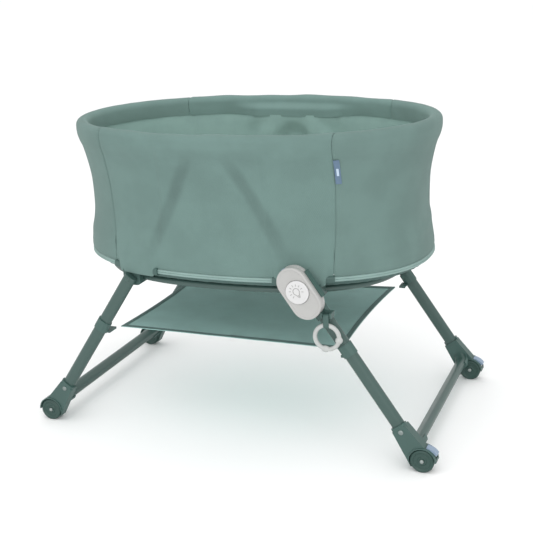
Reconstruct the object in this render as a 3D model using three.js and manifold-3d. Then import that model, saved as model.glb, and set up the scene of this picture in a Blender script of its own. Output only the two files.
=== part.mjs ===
// A bassinet on a folding stand, in millimetres, +Z up.
// The origin is on the floor under the middle of the object. +X runs along the basket towards the braked
// wheels, and -Y is the side that carries the night light.
import * as THREE from "three";
import { mergeVertices } from "three/addons/utils/BufferGeometryUtils.js";
import Module from "manifold-3d";

const wasm = await Module();
wasm.setup();

// Driving sizes.
const GAP = 0.3; // between pieces that touch
const RUNNING = 0.4; // around a piece that turns or slides

const PIVOT = { x: 207, z: 360 }; // where a leg frame hinges, at each end of the stand
const WHEEL = { r: 25, in: 6, half: 13.8, web: 9, hubR: 6, round: 3 };
const FOOT = { x: 421, z: 2 * WHEEL.r - 2.3 }; // where a leg meets its crossbar, centre lines
const LEG_Y = 245; // centre plane of the legs, each side
const TUBE = { wide: 28.5, thick: 18, wall: 1.6, bend: 32, end: 7.5, steps: 4 };
const PIN = { r: 4, headR: 6, head: 2.4, depth: 20, inset: 1 };

const STAND_RING = { a: 338, b: 235, n: 2.5, z: PIVOT.z - 3, r: 7 };
const BASKET_RING = { a: 394.7, b: 261.1, n: 2.25, z: PIVOT.z + 24.6, r: 5.5 };
const RIM = { a: 402, b: 274.4, n: 2.1, z: BASKET_RING.z + 285, tubeR: 7, sleeveR: 14, slit: 0.35 };
const WALL = { thick: 4, pinch: 17, belowRim: 15.6, aboveBar: 1, spread: 4 };
const HEAD = { halfWide: 20, low: 17, past: 7.6, barFrom: 130, barTo: 250, barTall: 16, barThick: 17 };

const BOARD = { thick: 4, inset: 3 };
const MATTRESS = { thick: 32, inset: 12, soft: 9 };
const STRUT = { wide: 18, thick: 7, foot: 0.4256, top: 0.1119, footIn: 10, topIn: 19.4, belowRim: 35.6 };
const RIM_BLOCK = { long: 150, tall: 14, deep: 16, round: 5, out: 4 };

const AXLE = { r: 2.5, headR: 4.1, head: 1 };
const HOOD = { clear: 2, wall: 2.5, over: 0.2, bossR: 10 };
const CASTING = { wall: 3, up: 57, along: 44, lap: 2, rivetUp: 43 };
const RIVET = { r: 3, headR: 5.2, topR: 4.2, head: 1.6, depth: 7 };
const PEDAL = { from: 24, to: 74, above: 2.2, thick: 4.2, wide: 17, lift: 10, hingeUp: 2, hingeBack: 4 };

const COLLAR = { z: 247, long: 26, wall: 2.6, tab: 21, tabWide: 14, tabIn: 8 };
const SHELF = { fromLeg: 22.4, fromLegY: 37, below: 18, thick: 2.6, dip: 9 };

// The night light is clipped to the front leg at the right, above its pivot.
const LIGHT = { long: 115, wide: 64, deep: 26, split: 11, wall: 2.2, round: 3, up: 15, clear: 2.16 };
const BUTTON = { r: LIGHT.wide / 2 - 7.5, up: 4, proud: 1.5, travel: 1, flange: 2, stemR: 5 };
const SWITCH = { long: 12, tall: 4, cap: 8, proud: 0.8, up: 5.5 };
const DOOR = { wide: LIGHT.wide - 26, long: 54, round: 4 };
const CIRCUIT = { wide: LIGHT.wide - 14, long: LIGHT.long - 21, thick: 1.6, up: 4.6 };
const BATTERY = { wide: DOOR.wide - 2, long: DOOR.long - 4, round: 5 };
const SPEAKER = { r: 11, down: 36 };
const HOLDER = { plate: 3, lip: 2.8, lipLong: 62, lipDeep: 13, clampFrom: 29, clampLong: 26, neck: 22 };

// The toy hangs from a bar on the light's holder.
const STRAP = { wide: 12, thick: 1.5, gap: 12, barR: 2.5, downLeg: 51.87, aside: 17.32, out: 10 };
const TOY = { ringR: 25.5, tubeR: 4.5, beadR: 7.5, padR: 8, below: 46.5 };
const LABEL = { wide: 12, tall: 50, thick: 1.2, x: 262, belowRim: 63.6 };

// Places that follow from those sizes.
const wheelX = FOOT.x + WHEEL.r - WHEEL.in;
const hoodR = WHEEL.r + HOOD.clear + HOOD.wall;
const hoodHalf = WHEEL.half + HOOD.over;

// Colours.
const SAGE = 0x6b8d85;
const FABRIC = 0x738f88;
const PAINT = 0x53756e;
const PLASTIC = 0x4f6e68;
const GREY = 0xcfcecb;
const WHITE = 0xf2f2f2;
const STEEL = 0xb9bcbe;
const PEDAL_BLUE = 0x7d8fa3;
const SLATE = 0x5f7085;
const CREAM = 0xe8e8e4;
const BOARD_GREEN = 0x2f6b3f;
const BLACK = 0x262626;

const root = new THREE.Group();

function finish(color, roughness, metalness = 0) {
  return new THREE.MeshStandardMaterial({ color, roughness, metalness });
}

function node(parent, name, geometry, material) {
  const mesh = new THREE.Mesh(geometry, material);
  mesh.name = name;
  parent.add(mesh);
  return mesh;
}

// Solids and booleans.
function solid(geometry) {
  const bare = geometry.index ? geometry.toNonIndexed() : geometry.clone();
  bare.deleteAttribute("normal");
  bare.deleteAttribute("uv");
  const merged = mergeVertices(bare, 1e-4);
  const mesh = new wasm.Mesh({
    numProp: 3,
    vertProperties: merged.attributes.position.array,
    triVerts: new Uint32Array(merged.index.array),
  });
  return new wasm.Manifold(mesh);
}

function shell(manifold) {
  const mesh = manifold.getMesh();
  const geometry = new THREE.BufferGeometry();
  geometry.setAttribute("position", new THREE.BufferAttribute(mesh.vertProperties, 3));
  geometry.setIndex(new THREE.BufferAttribute(mesh.triVerts, 1));
  return geometry;
}

function join(...geometries) {
  return shell(geometries.map(solid).reduce((sum, next) => sum.add(next)));
}

function cut(base, ...tools) {
  return shell(tools.map(solid).reduce((rest, tool) => rest.subtract(tool), solid(base)));
}

// Outlines in a plane.
function stadium(wide, tall, steps = 6) {
  const r = Math.min(wide, tall) / 2;
  const points = [];
  const dx = wide / 2 - r;
  const dy = tall / 2 - r;
  const ends = [[dx, dy, dx > dy ? -90 : 0], [-dx, -dy, dx > dy ? 90 : 180]];
  for (const [cx, cy, from] of ends)
    for (let i = 0; i <= steps; i++) {
      const t = THREE.MathUtils.degToRad(from + (180 * i) / steps);
      points.push(new THREE.Vector2(cx + r * Math.cos(t), cy + r * Math.sin(t)));
    }
  return points;
}

function roundedBox(wide, tall, r, steps = 3) {
  const points = [];
  const corners = [[1, 1, 0], [-1, 1, 90], [-1, -1, 180], [1, -1, 270]];
  for (const [sx, sy, from] of corners)
    for (let i = 0; i <= steps; i++) {
      const t = THREE.MathUtils.degToRad(from + (90 * i) / steps);
      const x = sx * (wide / 2 - r) + r * Math.cos(t);
      points.push(new THREE.Vector2(x, sy * (tall / 2 - r) + r * Math.sin(t)));
    }
  return points;
}

function circle(r, steps = 16) {
  const points = [];
  for (let i = 0; i < steps; i++) {
    const t = (2 * Math.PI * i) / steps;
    points.push(new THREE.Vector2(r * Math.cos(t), r * Math.sin(t)));
  }
  return points;
}

function prism(outline, from, to, holes = []) {
  const shape = new THREE.Shape(outline);
  holes.forEach((hole) => shape.holes.push(new THREE.Path(hole)));
  const geometry = new THREE.ExtrudeGeometry(shape, { depth: to - from, bevelEnabled: false });
  return geometry.translate(0, 0, from);
}

// A prism whose outline is in X and Z, from one value of Y to another.
function prismY(outline, fromY, toY, holes = []) {
  return prism(outline, -toY, -fromY, holes).rotateX(Math.PI / 2);
}

function block(x, y, z) {
  const geometry = new THREE.BoxGeometry(x[1] - x[0], y[1] - y[0], z[1] - z[0]);
  return geometry.translate((x[0] + x[1]) / 2, (y[0] + y[1]) / 2, (z[0] + z[1]) / 2);
}

function rod(r, fromY, toY, x, z, steps = 16) {
  const outline = circle(r, steps).map((p) => new THREE.Vector2(p.x + x, p.y + z));
  return prismY(outline, fromY, toY);
}

// Turns a prism along Z to lie along X, with its outline in Y and Z.
function alongX(geometry) {
  const [x, y, z] = [new THREE.Vector3(1, 0, 0), new THREE.Vector3(0, 1, 0), new THREE.Vector3(0, 0, 1)];
  return geometry.applyMatrix4(new THREE.Matrix4().makeBasis(y, z, x));
}

// A closed surface through rows of points. Rows follow each other, and each row is one closed outline.
function loft(rows, closed) {
  const count = rows[0].length;
  const positions = rows.flat().flatMap((p) => [p.x, p.y, p.z]);
  const index = [];
  const last = closed ? rows.length : rows.length - 1;
  for (let i = 0; i < last; i++)
    for (let j = 0; j < count; j++) {
      const a = i * count + j;
      const b = i * count + ((j + 1) % count);
      const c = ((i + 1) % rows.length) * count + j;
      const d = ((i + 1) % rows.length) * count + ((j + 1) % count);
      index.push(a, b, d, a, d, c);
    }
  const geometry = new THREE.BufferGeometry();
  geometry.setAttribute("position", new THREE.Float32BufferAttribute(positions, 3));
  geometry.setIndex(index);
  return geometry;
}

// A loft with its two ends closed. The outline is the same as every row, seen flat.
function capped(rows, outline) {
  const geometry = loft(rows, false);
  const faces = THREE.ShapeUtils.triangulateShape(outline, []);
  const count = rows[0].length;
  const end = (rows.length - 1) * count;
  const index = Array.from(geometry.index.array);
  for (const [a, b, c] of faces) {
    index.push(a, c, b);
    index.push(end + a, end + b, end + c);
  }
  geometry.setIndex(index);
  return facingOut(geometry);
}

function facingOut(geometry) {
  if (solidVolume(geometry) > 0) return geometry;
  const turned = Array.from(geometry.index.array);
  for (let i = 0; i < turned.length; i += 3)
    [turned[i + 1], turned[i + 2]] = [turned[i + 2], turned[i + 1]];
  geometry.setIndex(turned);
  return geometry;
}

function solidVolume(geometry) {
  const p = geometry.attributes.position;
  const corner = [0, 1, 2].map(() => new THREE.Vector3());
  let sum = 0;
  for (let i = 0; i < geometry.index.count; i += 3) {
    corner.forEach((v, k) => v.fromBufferAttribute(p, geometry.index.getX(i + k)));
    sum += corner[0].dot(corner[1].clone().cross(corner[2]));
  }
  return sum;
}

// Ovals: the outline of the basket and of the rings, fuller than an ellipse where n is over 2.
function ovalPoint({ a, b, n }, t, z = 0) {
  const c = Math.cos(t);
  const s = Math.sin(t);
  const x = a * Math.sign(c) * Math.abs(c) ** (2 / n);
  const y = b * Math.sign(s) * Math.abs(s) ** (2 / n);
  return new THREE.Vector3(x, y, z);
}

function ovalY({ a, b, n }, x) {
  return b * (1 - Math.abs(x / a) ** n) ** (1 / n);
}

// The outward normal of an oval at a point on it.
function ovalNormal({ a, b, n }, p) {
  const nx = (Math.sign(p.x) * Math.abs(p.x / a) ** (n - 1)) / a;
  const ny = (Math.sign(p.y) * Math.abs(p.y / b) ** (n - 1)) / b;
  return new THREE.Vector3(nx, ny, 0).normalize();
}

// Points spaced evenly along an oval.
function ovalRing(oval, steps) {
  const fine = [];
  for (let i = 0; i < 720; i++) fine.push(ovalPoint(oval, (2 * Math.PI * i) / 720, oval.z || 0));
  const curve = new THREE.CatmullRomCurve3(fine, true);
  curve.arcLengthDivisions = 1440;
  return curve.getSpacedPoints(steps).slice(0, steps);
}

const ROUND = 48; // steps around the oval rings

// A closed band around an oval: the section's x is measured outwards from the oval and its y is height.
function ovalBand(oval, section, steps = ROUND) {
  const rows = ovalRing(oval, steps).map((p) => {
    const out = ovalNormal(oval, p);
    return section.map((s) => p.clone().addScaledVector(out, s.x).setZ(oval.z + s.y));
  });
  return facingOut(loft(rows, true));
}

function ovalPlate(oval, fromZ, toZ, soft = 0) {
  const outline = ovalRing(oval, ROUND).map((p) => new THREE.Vector2(p.x, p.y));
  const shape = new THREE.Shape(outline);
  const bevel = { bevelSize: soft, bevelThickness: soft, bevelOffset: -soft, bevelSegments: 2 };
  const depth = toZ - fromZ - 2 * soft;
  const geometry = new THREE.ExtrudeGeometry(shape, { depth, bevelEnabled: soft > 0, ...bevel });
  return geometry.translate(0, 0, fromZ + soft);
}

// The leg frame's own directions: down the leg, and square to the frame's plane.
const LEAN = Math.atan2(FOOT.x - PIVOT.x, PIVOT.z - FOOT.z);
const DOWN = new THREE.Vector3(Math.sin(LEAN), 0, -Math.cos(LEAN));
const SQUARE = new THREE.Vector3(Math.cos(LEAN), 0, Math.sin(LEAN));

function onLeg(up, y = -LEG_Y) {
  return new THREE.Vector3(FOOT.x, y, FOOT.z).addScaledVector(DOWN, -up);
}

function legUpAt(z) {
  return (z - FOOT.z) / Math.cos(LEAN);
}

// The centre line of the front half of a leg frame, from `top` above the foot, round the bend, to the
// distance `inward` from the leg's plane. Each station has a place and the direction that faces outwards.
function legStations(top, inward, turns = 5) {
  const stations = [{ at: onLeg(top), out: new THREE.Vector3(0, -1, 0) }];
  for (let i = 0; i <= turns; i++) {
    const t = (Math.PI / 2) * (i / turns);
    const centre = onLeg(TUBE.bend, -LEG_Y + TUBE.bend);
    const out = new THREE.Vector3(0, -Math.cos(t), 0).addScaledVector(DOWN, Math.sin(t));
    stations.push({ at: centre.addScaledVector(out, TUBE.bend), out });
  }
  if (inward > TUBE.bend) stations.push({ at: onLeg(0, -LEG_Y + inward), out: DOWN.clone() });
  return stations;
}

function alongLeg(stations, section) {
  return stations.map(({ at, out }) =>
    section.map((s) => at.clone().addScaledVector(SQUARE, s.x).addScaledVector(out, s.y)),
  );
}

// The whole U: the front half and its mirror image in Y.
function legFrameStations() {
  const front = legStations(legTop, TUBE.bend);
  const back = front.map(({ at, out }) => ({
    at: at.clone().setY(-at.y),
    out: out.clone().setY(-out.y),
  }));
  return [...front, ...back.reverse()];
}

// The leg tube's outline, grown by a margin.
function tubeOutline(margin) {
  return stadium(TUBE.wide + 2 * margin, TUBE.thick + 2 * margin, TUBE.steps);
}

const legLength = Math.hypot(FOOT.x - PIVOT.x, PIVOT.z - FOOT.z);
const legTop = legLength + TUBE.end;

function legFrame() {
  const stations = legFrameStations();
  const outline = tubeOutline(0);
  const bore = tubeOutline(-TUBE.wall);
  const outside = capped(alongLeg(stations, outline), outline);
  const longer = stations.map((s) => ({ at: s.at.clone(), out: s.out }));
  longer[0].at.addScaledVector(DOWN, -1);
  longer[longer.length - 1].at.addScaledVector(DOWN, -1);
  const inside = capped(alongLeg(longer, bore), bore);
  const pinHole = rod(PIN.r + RUNNING, -LEG_Y - TUBE.thick, LEG_Y + TUBE.thick, PIVOT.x, PIVOT.z);
  const rivet = onLeg(CASTING.rivetUp);
  const rivetHoles = [1, -1].map((side) => {
    const ys = [side * (LEG_Y + TUBE.thick), side * LEG_Y].sort((p, q) => p - q);
    return rod(RIVET.r + GAP, ys[0], ys[1], rivet.x, rivet.z, 10);
  });
  return cut(outside, inside, pinHole, ...rivetHoles);
}

// The space that the leg tube takes, with a gap round it.
function tubeSpace(gap) {
  const outline = tubeOutline(gap);
  return capped(alongLeg(legStations(legTop + 20, 2 * CASTING.along), outline), outline);
}

// A leg head: a bar that grips the basket's ring, over a block that grips the stand's ring and the pin.
function legHead() {
  const bar = [];
  const steps = 6;
  const section = roundedBox(HEAD.barThick, HEAD.barTall, 4, 2);
  for (let i = 0; i <= steps; i++) {
    const x = HEAD.barFrom + ((HEAD.barTo - HEAD.barFrom) * i) / steps;
    const p = new THREE.Vector3(x, -ovalY(BASKET_RING, x), BASKET_RING.z);
    const out = ovalNormal(BASKET_RING, p);
    bar.push(section.map((s) => p.clone().addScaledVector(out, s.x).setZ(BASKET_RING.z + s.y)));
  }
  const face = -LEG_Y + TUBE.thick / 2 + PIN.inset;
  const back = HEAD.past + STAND_RING.r - ovalY(STAND_RING, PIVOT.x);
  const tall = BASKET_RING.z - PIVOT.z + HEAD.low;
  const outline = roundedBox(2 * HEAD.halfWide, tall, 7).map(
    (p) => new THREE.Vector2(p.x + PIVOT.x, p.y + PIVOT.z - HEAD.low + tall / 2),
  );
  const body = join(capped(bar, section), prismY(outline, face, back));
  const rings = [STAND_RING, BASKET_RING].map((ring) => ringTube(ring, ring.r + GAP));
  const pin = rod(PIN.r + GAP, face - 5, face + PIN.depth + 1, PIVOT.x, PIVOT.z);
  return cut(body, ...rings, pin);
}

function ringTube(ring, r) {
  return ovalBand(ring, circle(r, 8));
}

// Turned about an axis parallel to Y: profile points are [radius, outward distance].
function turned(profile, x, y, z, steps = 18) {
  const points = profile.map(([r, h]) => new THREE.Vector2(r, h));
  return new THREE.LatheGeometry(points, steps).rotateX(Math.PI).translate(x, y, z);
}

function pivotPin() {
  const outer = LEG_Y + TUBE.thick / 2 + GAP;
  const inner = LEG_Y - TUBE.thick / 2 - PIN.inset - PIN.depth;
  const { r, headR, head } = PIN;
  const top = outer + head;
  const profile = [[0, inner], [r, inner], [r, outer], [headR, outer], [headR - 1, top], [0, top]];
  return turned(profile, PIVOT.x, 0, PIVOT.z, 16);
}

function castingRivet() {
  const at = onLeg(CASTING.rivetUp);
  const outer = LEG_Y + TUBE.thick / 2 + CASTING.wall + GAP;
  const inner = LEG_Y + TUBE.thick / 2 - RIVET.depth;
  const { r, headR, topR } = RIVET;
  const top = outer + RIVET.head;
  const profile = [[0, inner], [r, inner], [r, outer], [headR, outer], [topR, top], [0, top]];
  return turned(profile, at.x, 0, at.z, 10);
}

// A foot casting wraps the outside of the frame's corner and carries a half-round hood over the wheel.
function footCasting(braked) {
  const w = TUBE.wide / 2 + CASTING.wall;
  const t = TUBE.thick / 2 + CASTING.wall;
  const half = roundedBox(2 * w, 2 * t, 7, 2);
  const section = half.filter((p) => p.y > 0);
  section.push(new THREE.Vector2(-w, -CASTING.lap), new THREE.Vector2(w, -CASTING.lap));
  const wrap = capped(alongLeg(legStations(CASTING.up, CASTING.along), section), section);
  const along = [onLeg(CASTING.up - 6), new THREE.Vector3(wheelX, 0, WHEEL.r)];
  const shank = [
    along[0].clone().addScaledVector(SQUARE, w - 1),
    along[0].clone().addScaledVector(SQUARE, 1 - w),
    along[1].clone().addScaledVector(SQUARE, 2 - hoodR),
    along[1].clone().addScaledVector(SQUARE, hoodR - 6),
  ].map((p) => new THREE.Vector2(p.x, p.z));
  const front = -LEG_Y - t;
  const bridge = prismY(shank.reverse(), front, -LEG_Y + t);
  const hood = [];
  for (let i = 0; i <= 12; i++) {
    const a = Math.PI * (i / 12);
    hood.push(new THREE.Vector2(wheelX + hoodR * Math.cos(a), WHEEL.r + hoodR * Math.sin(a)));
  }
  const dome = prismY(hood, -LEG_Y - hoodHalf, -LEG_Y + hoodHalf);
  const boss = rod(HOOD.bossR, -LEG_Y - WHEEL.web / 2, -LEG_Y + WHEEL.web / 2, wheelX, WHEEL.r);
  const body = join(wrap, bridge, dome, boss);
  const pocket = WHEEL.r + HOOD.clear;
  const web = WHEEL.web / 2;
  const rivet = onLeg(CASTING.rivetUp);
  const tools = [
    tubeSpace(GAP),
    rod(pocket, -LEG_Y - hoodHalf - 1, -LEG_Y - web, wheelX, WHEEL.r, 20),
    rod(pocket, -LEG_Y + web, -LEG_Y + hoodHalf + 1, wheelX, WHEEL.r, 20),
    rod(WHEEL.hubR + RUNNING, -LEG_Y - hoodHalf, -LEG_Y + hoodHalf, wheelX, WHEEL.r),
    rod(RIVET.r + GAP, front - 1, -LEG_Y, rivet.x, rivet.z, 10),
  ];
  if (braked) tools.push(pedalSpace());
  return cut(body, ...tools);
}

function wheelArc(fromDeg, toDeg, inner, outer, steps = 6) {
  const points = [];
  for (const [r, start, end] of [[outer, fromDeg, toDeg], [inner, toDeg, fromDeg]])
    for (let i = 0; i <= steps; i++) {
      const t = THREE.MathUtils.degToRad(start + ((end - start) * i) / steps);
      points.push(new THREE.Vector2(wheelX + r * Math.cos(t), WHEEL.r + r * Math.sin(t)));
    }
  return points;
}

function pedalSpace() {
  const side = PEDAL.wide / 2 + RUNNING;
  const outline = wheelArc(PEDAL.from - 12, PEDAL.to + 3, WHEEL.r + RUNNING * 2, hoodR + 9);
  return prismY(outline, -LEG_Y - side, -LEG_Y + side);
}

// The place of the pedal's own hinge, at the top of the hood.
const pedalR = WHEEL.r + PEDAL.above;
const hingeTurn = THREE.MathUtils.degToRad(PEDAL.to - PEDAL.hingeBack);
const PEDAL_HINGE = {
  x: wheelX + (pedalR + PEDAL.hingeUp) * Math.cos(hingeTurn),
  z: WHEEL.r + (pedalR + PEDAL.hingeUp) * Math.sin(hingeTurn),
};

function brakePedal() {
  const outline = wheelArc(PEDAL.from, PEDAL.to, pedalR, pedalR + PEDAL.thick);
  const geometry = prismY(outline, -LEG_Y - PEDAL.wide / 2, -LEG_Y + PEDAL.wide / 2);
  geometry.translate(-PEDAL_HINGE.x, 0, -PEDAL_HINGE.z);
  geometry.rotateY(-THREE.MathUtils.degToRad(PEDAL.lift));
  return geometry.translate(PEDAL_HINGE.x, 0, PEDAL_HINGE.z);
}

// Two discs on one hub that runs through the casting's web.
function wheel() {
  const { r, half, web, hubR, round } = WHEEL;
  const inner = web / 2 + RUNNING * 2;
  const bore = AXLE.r + GAP;
  const profile = [
    [bore, -half], [r - round, -half], [r, -half + round], [r, -inner], [hubR, -inner],
    [hubR, inner], [r, inner], [r, half - round], [r - round, half], [bore, half], [bore, -half],
  ];
  return turned(profile, wheelX, -LEG_Y, WHEEL.r, 18);
}

function axle() {
  const { r, headR, head } = AXLE;
  const end = WHEEL.half + GAP;
  const profile = [
    [0, -end - head], [headR, -end - head], [headR, -end], [r, -end],
    [r, end], [headR, end], [headR - 0.6, end + head], [0, end + head],
  ];
  return turned(profile, wheelX, -LEG_Y, WHEEL.r, 12);
}

// A collar on each leg, with a tab that holds a corner of the shelf.
function shelfCollar() {
  const up = legUpAt(COLLAR.z);
  const outline = tubeOutline(COLLAR.wall);
  const bore = tubeOutline(GAP);
  const stations = (from, to) =>
    [from, to].map((s) => ({ at: onLeg(s), out: new THREE.Vector3(0, -1, 0) }));
  const half = COLLAR.long / 2;
  const band = capped(alongLeg(stations(up + half, up - half), outline), outline);
  const hole = capped(alongLeg(stations(up + COLLAR.long, up - COLLAR.long), bore), bore);
  const x = onLeg(up).x - COLLAR.tabIn;
  const tabX = [x - COLLAR.tabWide / 2, x + COLLAR.tabWide / 2];
  const tabY = [-LEG_Y, -LEG_Y + TUBE.thick / 2 + COLLAR.tab];
  const tab = block(tabX, tabY, [shelfZ - 1, shelfZ + SHELF.thick + 1]);
  return cut(join(band, tab), hole);
}

const shelfX = onLeg(legUpAt(COLLAR.z)).x - SHELF.fromLeg;
const shelfZ = COLLAR.z - SHELF.below;

// Half of the shelf: a corner is held at each collar, and the edges between them curve in.
function shelfHalf(side) {
  const { thick, dip } = SHELF;
  const [x, y, z] = [shelfX, LEG_Y - SHELF.fromLegY, shelfZ];
  const clear = GAP + 0.2;
  const outline = [new THREE.Vector2(clear, -y + dip), new THREE.Vector2(clear, y - dip)];
  const edge = [
    new THREE.QuadraticBezierCurve(
      new THREE.Vector2(clear, y - dip),
      new THREE.Vector2(x / 2, y - dip),
      new THREE.Vector2(x, y),
    ),
    new THREE.QuadraticBezierCurve(
      new THREE.Vector2(x, y),
      new THREE.Vector2(x - 2 * dip, 0),
      new THREE.Vector2(x, -y),
    ),
    new THREE.QuadraticBezierCurve(
      new THREE.Vector2(x, -y),
      new THREE.Vector2(x / 2, -y + dip),
      new THREE.Vector2(clear, -y + dip),
    ),
  ];
  const points = [outline[0], ...edge.flatMap((curve) => curve.getPoints(5).slice(0, -1))];
  const turnedRound = points.map((p) => new THREE.Vector2(side * p.x, p.y));
  return prism(turnedRound, z, z + thick);
}

// The basket's wall: its outline at a height, pinched in between the two rings.
function wallOval(z) {
  const low = BASKET_RING.z;
  const share = (z - low) / (RIM.z - low);
  const pinch = WALL.pinch * Math.sin(Math.PI * share ** 0.9) ** 0.8;
  const mix = (from, to) => from + (to - from) * share;
  return {
    a: mix(BASKET_RING.a + WALL.spread, RIM.a + WALL.spread) - pinch,
    b: mix(BASKET_RING.b + WALL.spread, RIM.b + WALL.spread) - pinch,
    n: mix(BASKET_RING.n, RIM.n),
    z,
  };
}

const wallFoot = BASKET_RING.z + HEAD.barTall / 2 + WALL.aboveBar;
const wallTop = RIM.z - WALL.belowRim;

function fabricWall() {
  const heights = [0, 0.14, 0.3, 0.45, 0.6, 0.75, 0.88, 1].map(
    (share) => wallFoot + (wallTop - wallFoot) * share,
  );
  const outside = heights.map((z) => ovalRing(wallOval(z), ROUND));
  const inside = heights.map((z) => {
    const oval = wallOval(z);
    return ovalRing(oval, ROUND).map((p) => p.addScaledVector(ovalNormal(oval, p), -WALL.thick));
  });
  const rows = [...outside, ...inside.reverse()];
  return facingOut(loft(rows, true));
}

function rimSleeve() {
  const section = [];
  const outer = RIM.sleeveR;
  const steps = 6;
  const from = -Math.PI / 2 + RIM.slit;
  const sweep = 2 * Math.PI - 2 * RIM.slit;
  const inner = (RIM.tubeR + GAP) / Math.cos(sweep / steps / 2);
  for (const [r, start, turn] of [[outer, from, sweep], [inner, from + sweep, -sweep]])
    for (let i = 0; i <= steps; i++) {
      const t = start + (turn * i) / steps;
      section.push(new THREE.Vector2(r * Math.cos(t), r * Math.sin(t)));
    }
  return ovalBand(RIM, section);
}

// The board and the mattress are set in from the wall, at the narrowest height that they reach.
function insetOval(inset, low, high) {
  const inside = WALL.thick + inset;
  const [atLow, atHigh] = [low, high].map(wallOval);
  return { a: Math.min(atLow.a, atHigh.a) - inside, b: Math.min(atLow.b, atHigh.b) - inside, n: atLow.n };
}

const boardZ = BASKET_RING.z + HEAD.barTall / 2 + RUNNING;

function baseBoard() {
  const high = boardZ + BOARD.thick;
  return ovalPlate(insetOval(BOARD.inset, boardZ, high), boardZ, high);
}

function mattress() {
  const low = boardZ + BOARD.thick + GAP;
  const high = low + MATTRESS.thick;
  return ovalPlate(insetOval(MATTRESS.inset, low, high), low, high, MATTRESS.soft);
}

// How far out the inside of the wall is, at a place along the basket and a height.
function wallInside(x, z) {
  return ovalY(wallOval(z), x) - WALL.thick;
}

// A strut's ends are along the basket by a share of its rings' half lengths.
const strutFootX = STRUT.foot * BASKET_RING.a;
const strutTopX = STRUT.top * RIM.a;
const strutTopZ = RIM.z - STRUT.belowRim;
const strutTopY = STRUT.topIn - wallInside(strutTopX, strutTopZ);

// A flat strut from the board up to the block under the rim.
function sideStrut() {
  const footZ = boardZ + BOARD.thick + STRUT.wide / 3;
  const foot = new THREE.Vector3(strutFootX, STRUT.footIn - wallInside(strutFootX, footZ), footZ);
  const top = new THREE.Vector3(strutTopX, strutTopY, strutTopZ);
  const line = top.clone().sub(foot).normalize();
  const out = new THREE.Vector3(0, -1, 0).addScaledVector(line, line.y).normalize();
  const across = line.clone().cross(out);
  const section = stadium(STRUT.wide, STRUT.thick, 3);
  const rows = [foot, top].map((at) =>
    section.map((s) => at.clone().addScaledVector(across, s.x).addScaledVector(out, s.y)),
  );
  return capped(rows, section);
}

function rimBlock() {
  const { long, tall, deep, round, out } = RIM_BLOCK;
  const middle = strutTopZ + STRUT.wide / 3 + tall / 2;
  const outline = roundedBox(long, tall, round).map((p) => new THREE.Vector2(p.x, p.y + middle));
  return prismY(outline, strutTopY - out - deep / 2, strutTopY - out + deep / 2);
}

// The night light. Its own frame has +Y up the leg, +X across it and +Z outwards.
const lightFrame = new THREE.Group();
// Its back clears the bar of the leg head, and stands off the leg by what that leaves.
const lightBack = ovalY(BASKET_RING, HEAD.barFrom) + HEAD.barThick / 2 + LIGHT.clear;
const lightOff = lightBack - LEG_Y - TUBE.thick / 2;
const lightAt = onLeg(legLength + LIGHT.up, -lightBack);
const lightTurn = new THREE.Matrix4();
lightTurn.makeBasis(SQUARE, DOWN.clone().negate(), new THREE.Vector3(0, -1, 0));
lightFrame.applyMatrix4(lightTurn.setPosition(lightAt));

const switchZ = LIGHT.split + SWITCH.up;
const boardLow = LIGHT.split + CIRCUIT.up;
const boardTop = boardLow + CIRCUIT.thick;

function capsule(inset) {
  return stadium(LIGHT.wide - 2 * inset, LIGHT.long - 2 * inset, 10);
}

function shifted(points, x, y) {
  return points.map((p) => new THREE.Vector2(p.x + x, p.y + y));
}

function lightFrontShell() {
  const { wall, deep, split, round } = LIGHT;
  const faceIn = deep - wall;
  const outside = new THREE.ExtrudeGeometry(new THREE.Shape(capsule(0)), {
    depth: deep - split - round,
    bevelThickness: round,
    bevelSize: round,
    bevelOffset: -round,
    bevelSegments: 2,
  });
  outside.translate(0, 0, split);
  const trimmed = cut(outside, prism(capsule(-9), -20, split));
  const inside = prism(capsule(wall), split - 1, faceIn);
  const hole = prism(shifted(circle(BUTTON.r + RUNNING, 24), 0, BUTTON.up), faceIn - 1, deep + 5);
  const top = LIGHT.long / 2;
  const slot = block(
    [-SWITCH.long / 2, SWITCH.long / 2],
    [top - wall - 2, top + 2],
    [switchZ - SWITCH.tall / 2, switchZ + SWITCH.tall / 2],
  );
  return cut(trimmed, inside, hole, slot);
}

function lightBackShell() {
  const { wall, split } = LIGHT;
  const outside = prism(capsule(0.6), 0, split - GAP);
  const inside = prism(capsule(wall + 0.6), wall, split + 1);
  const door = roundedBox(DOOR.wide, DOOR.long, DOOR.round);
  return cut(outside, inside, prism(door, -1, wall + 1));
}

function lightButton() {
  const { deep, wall } = LIGHT;
  const { r, stemR, flange } = BUTTON;
  const under = deep - wall - RUNNING;
  const foot = boardTop + BUTTON.travel + RUNNING;
  const top = deep + BUTTON.proud;
  const profile = [
    [0, foot], [stemR, foot], [stemR, under - flange],
    [r + flange, under - flange], [r + flange, under], [r, under],
    [r, top - 1.2], [r - 1.6, top], [0, top],
  ];
  const points = profile.map(([out, up]) => new THREE.Vector2(out, up));
  return new THREE.LatheGeometry(points, 24).rotateX(Math.PI / 2).translate(0, BUTTON.up, 0);
}

function lightSwitch() {
  const low = GAP - SWITCH.long / 2;
  const top = LIGHT.long / 2;
  const half = SWITCH.tall / 2 - GAP;
  const y = [top - LIGHT.wall - 1, top + SWITCH.proud];
  return block([low, low + SWITCH.cap], y, [switchZ - half, switchZ + half]);
}

function circuitBoard() {
  return prism(stadium(CIRCUIT.wide, CIRCUIT.long), boardLow, boardTop);
}

function batteryPack() {
  const outline = roundedBox(BATTERY.wide, BATTERY.long, BATTERY.round);
  return prism(outline, LIGHT.wall + 1, boardLow - 1);
}

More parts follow.
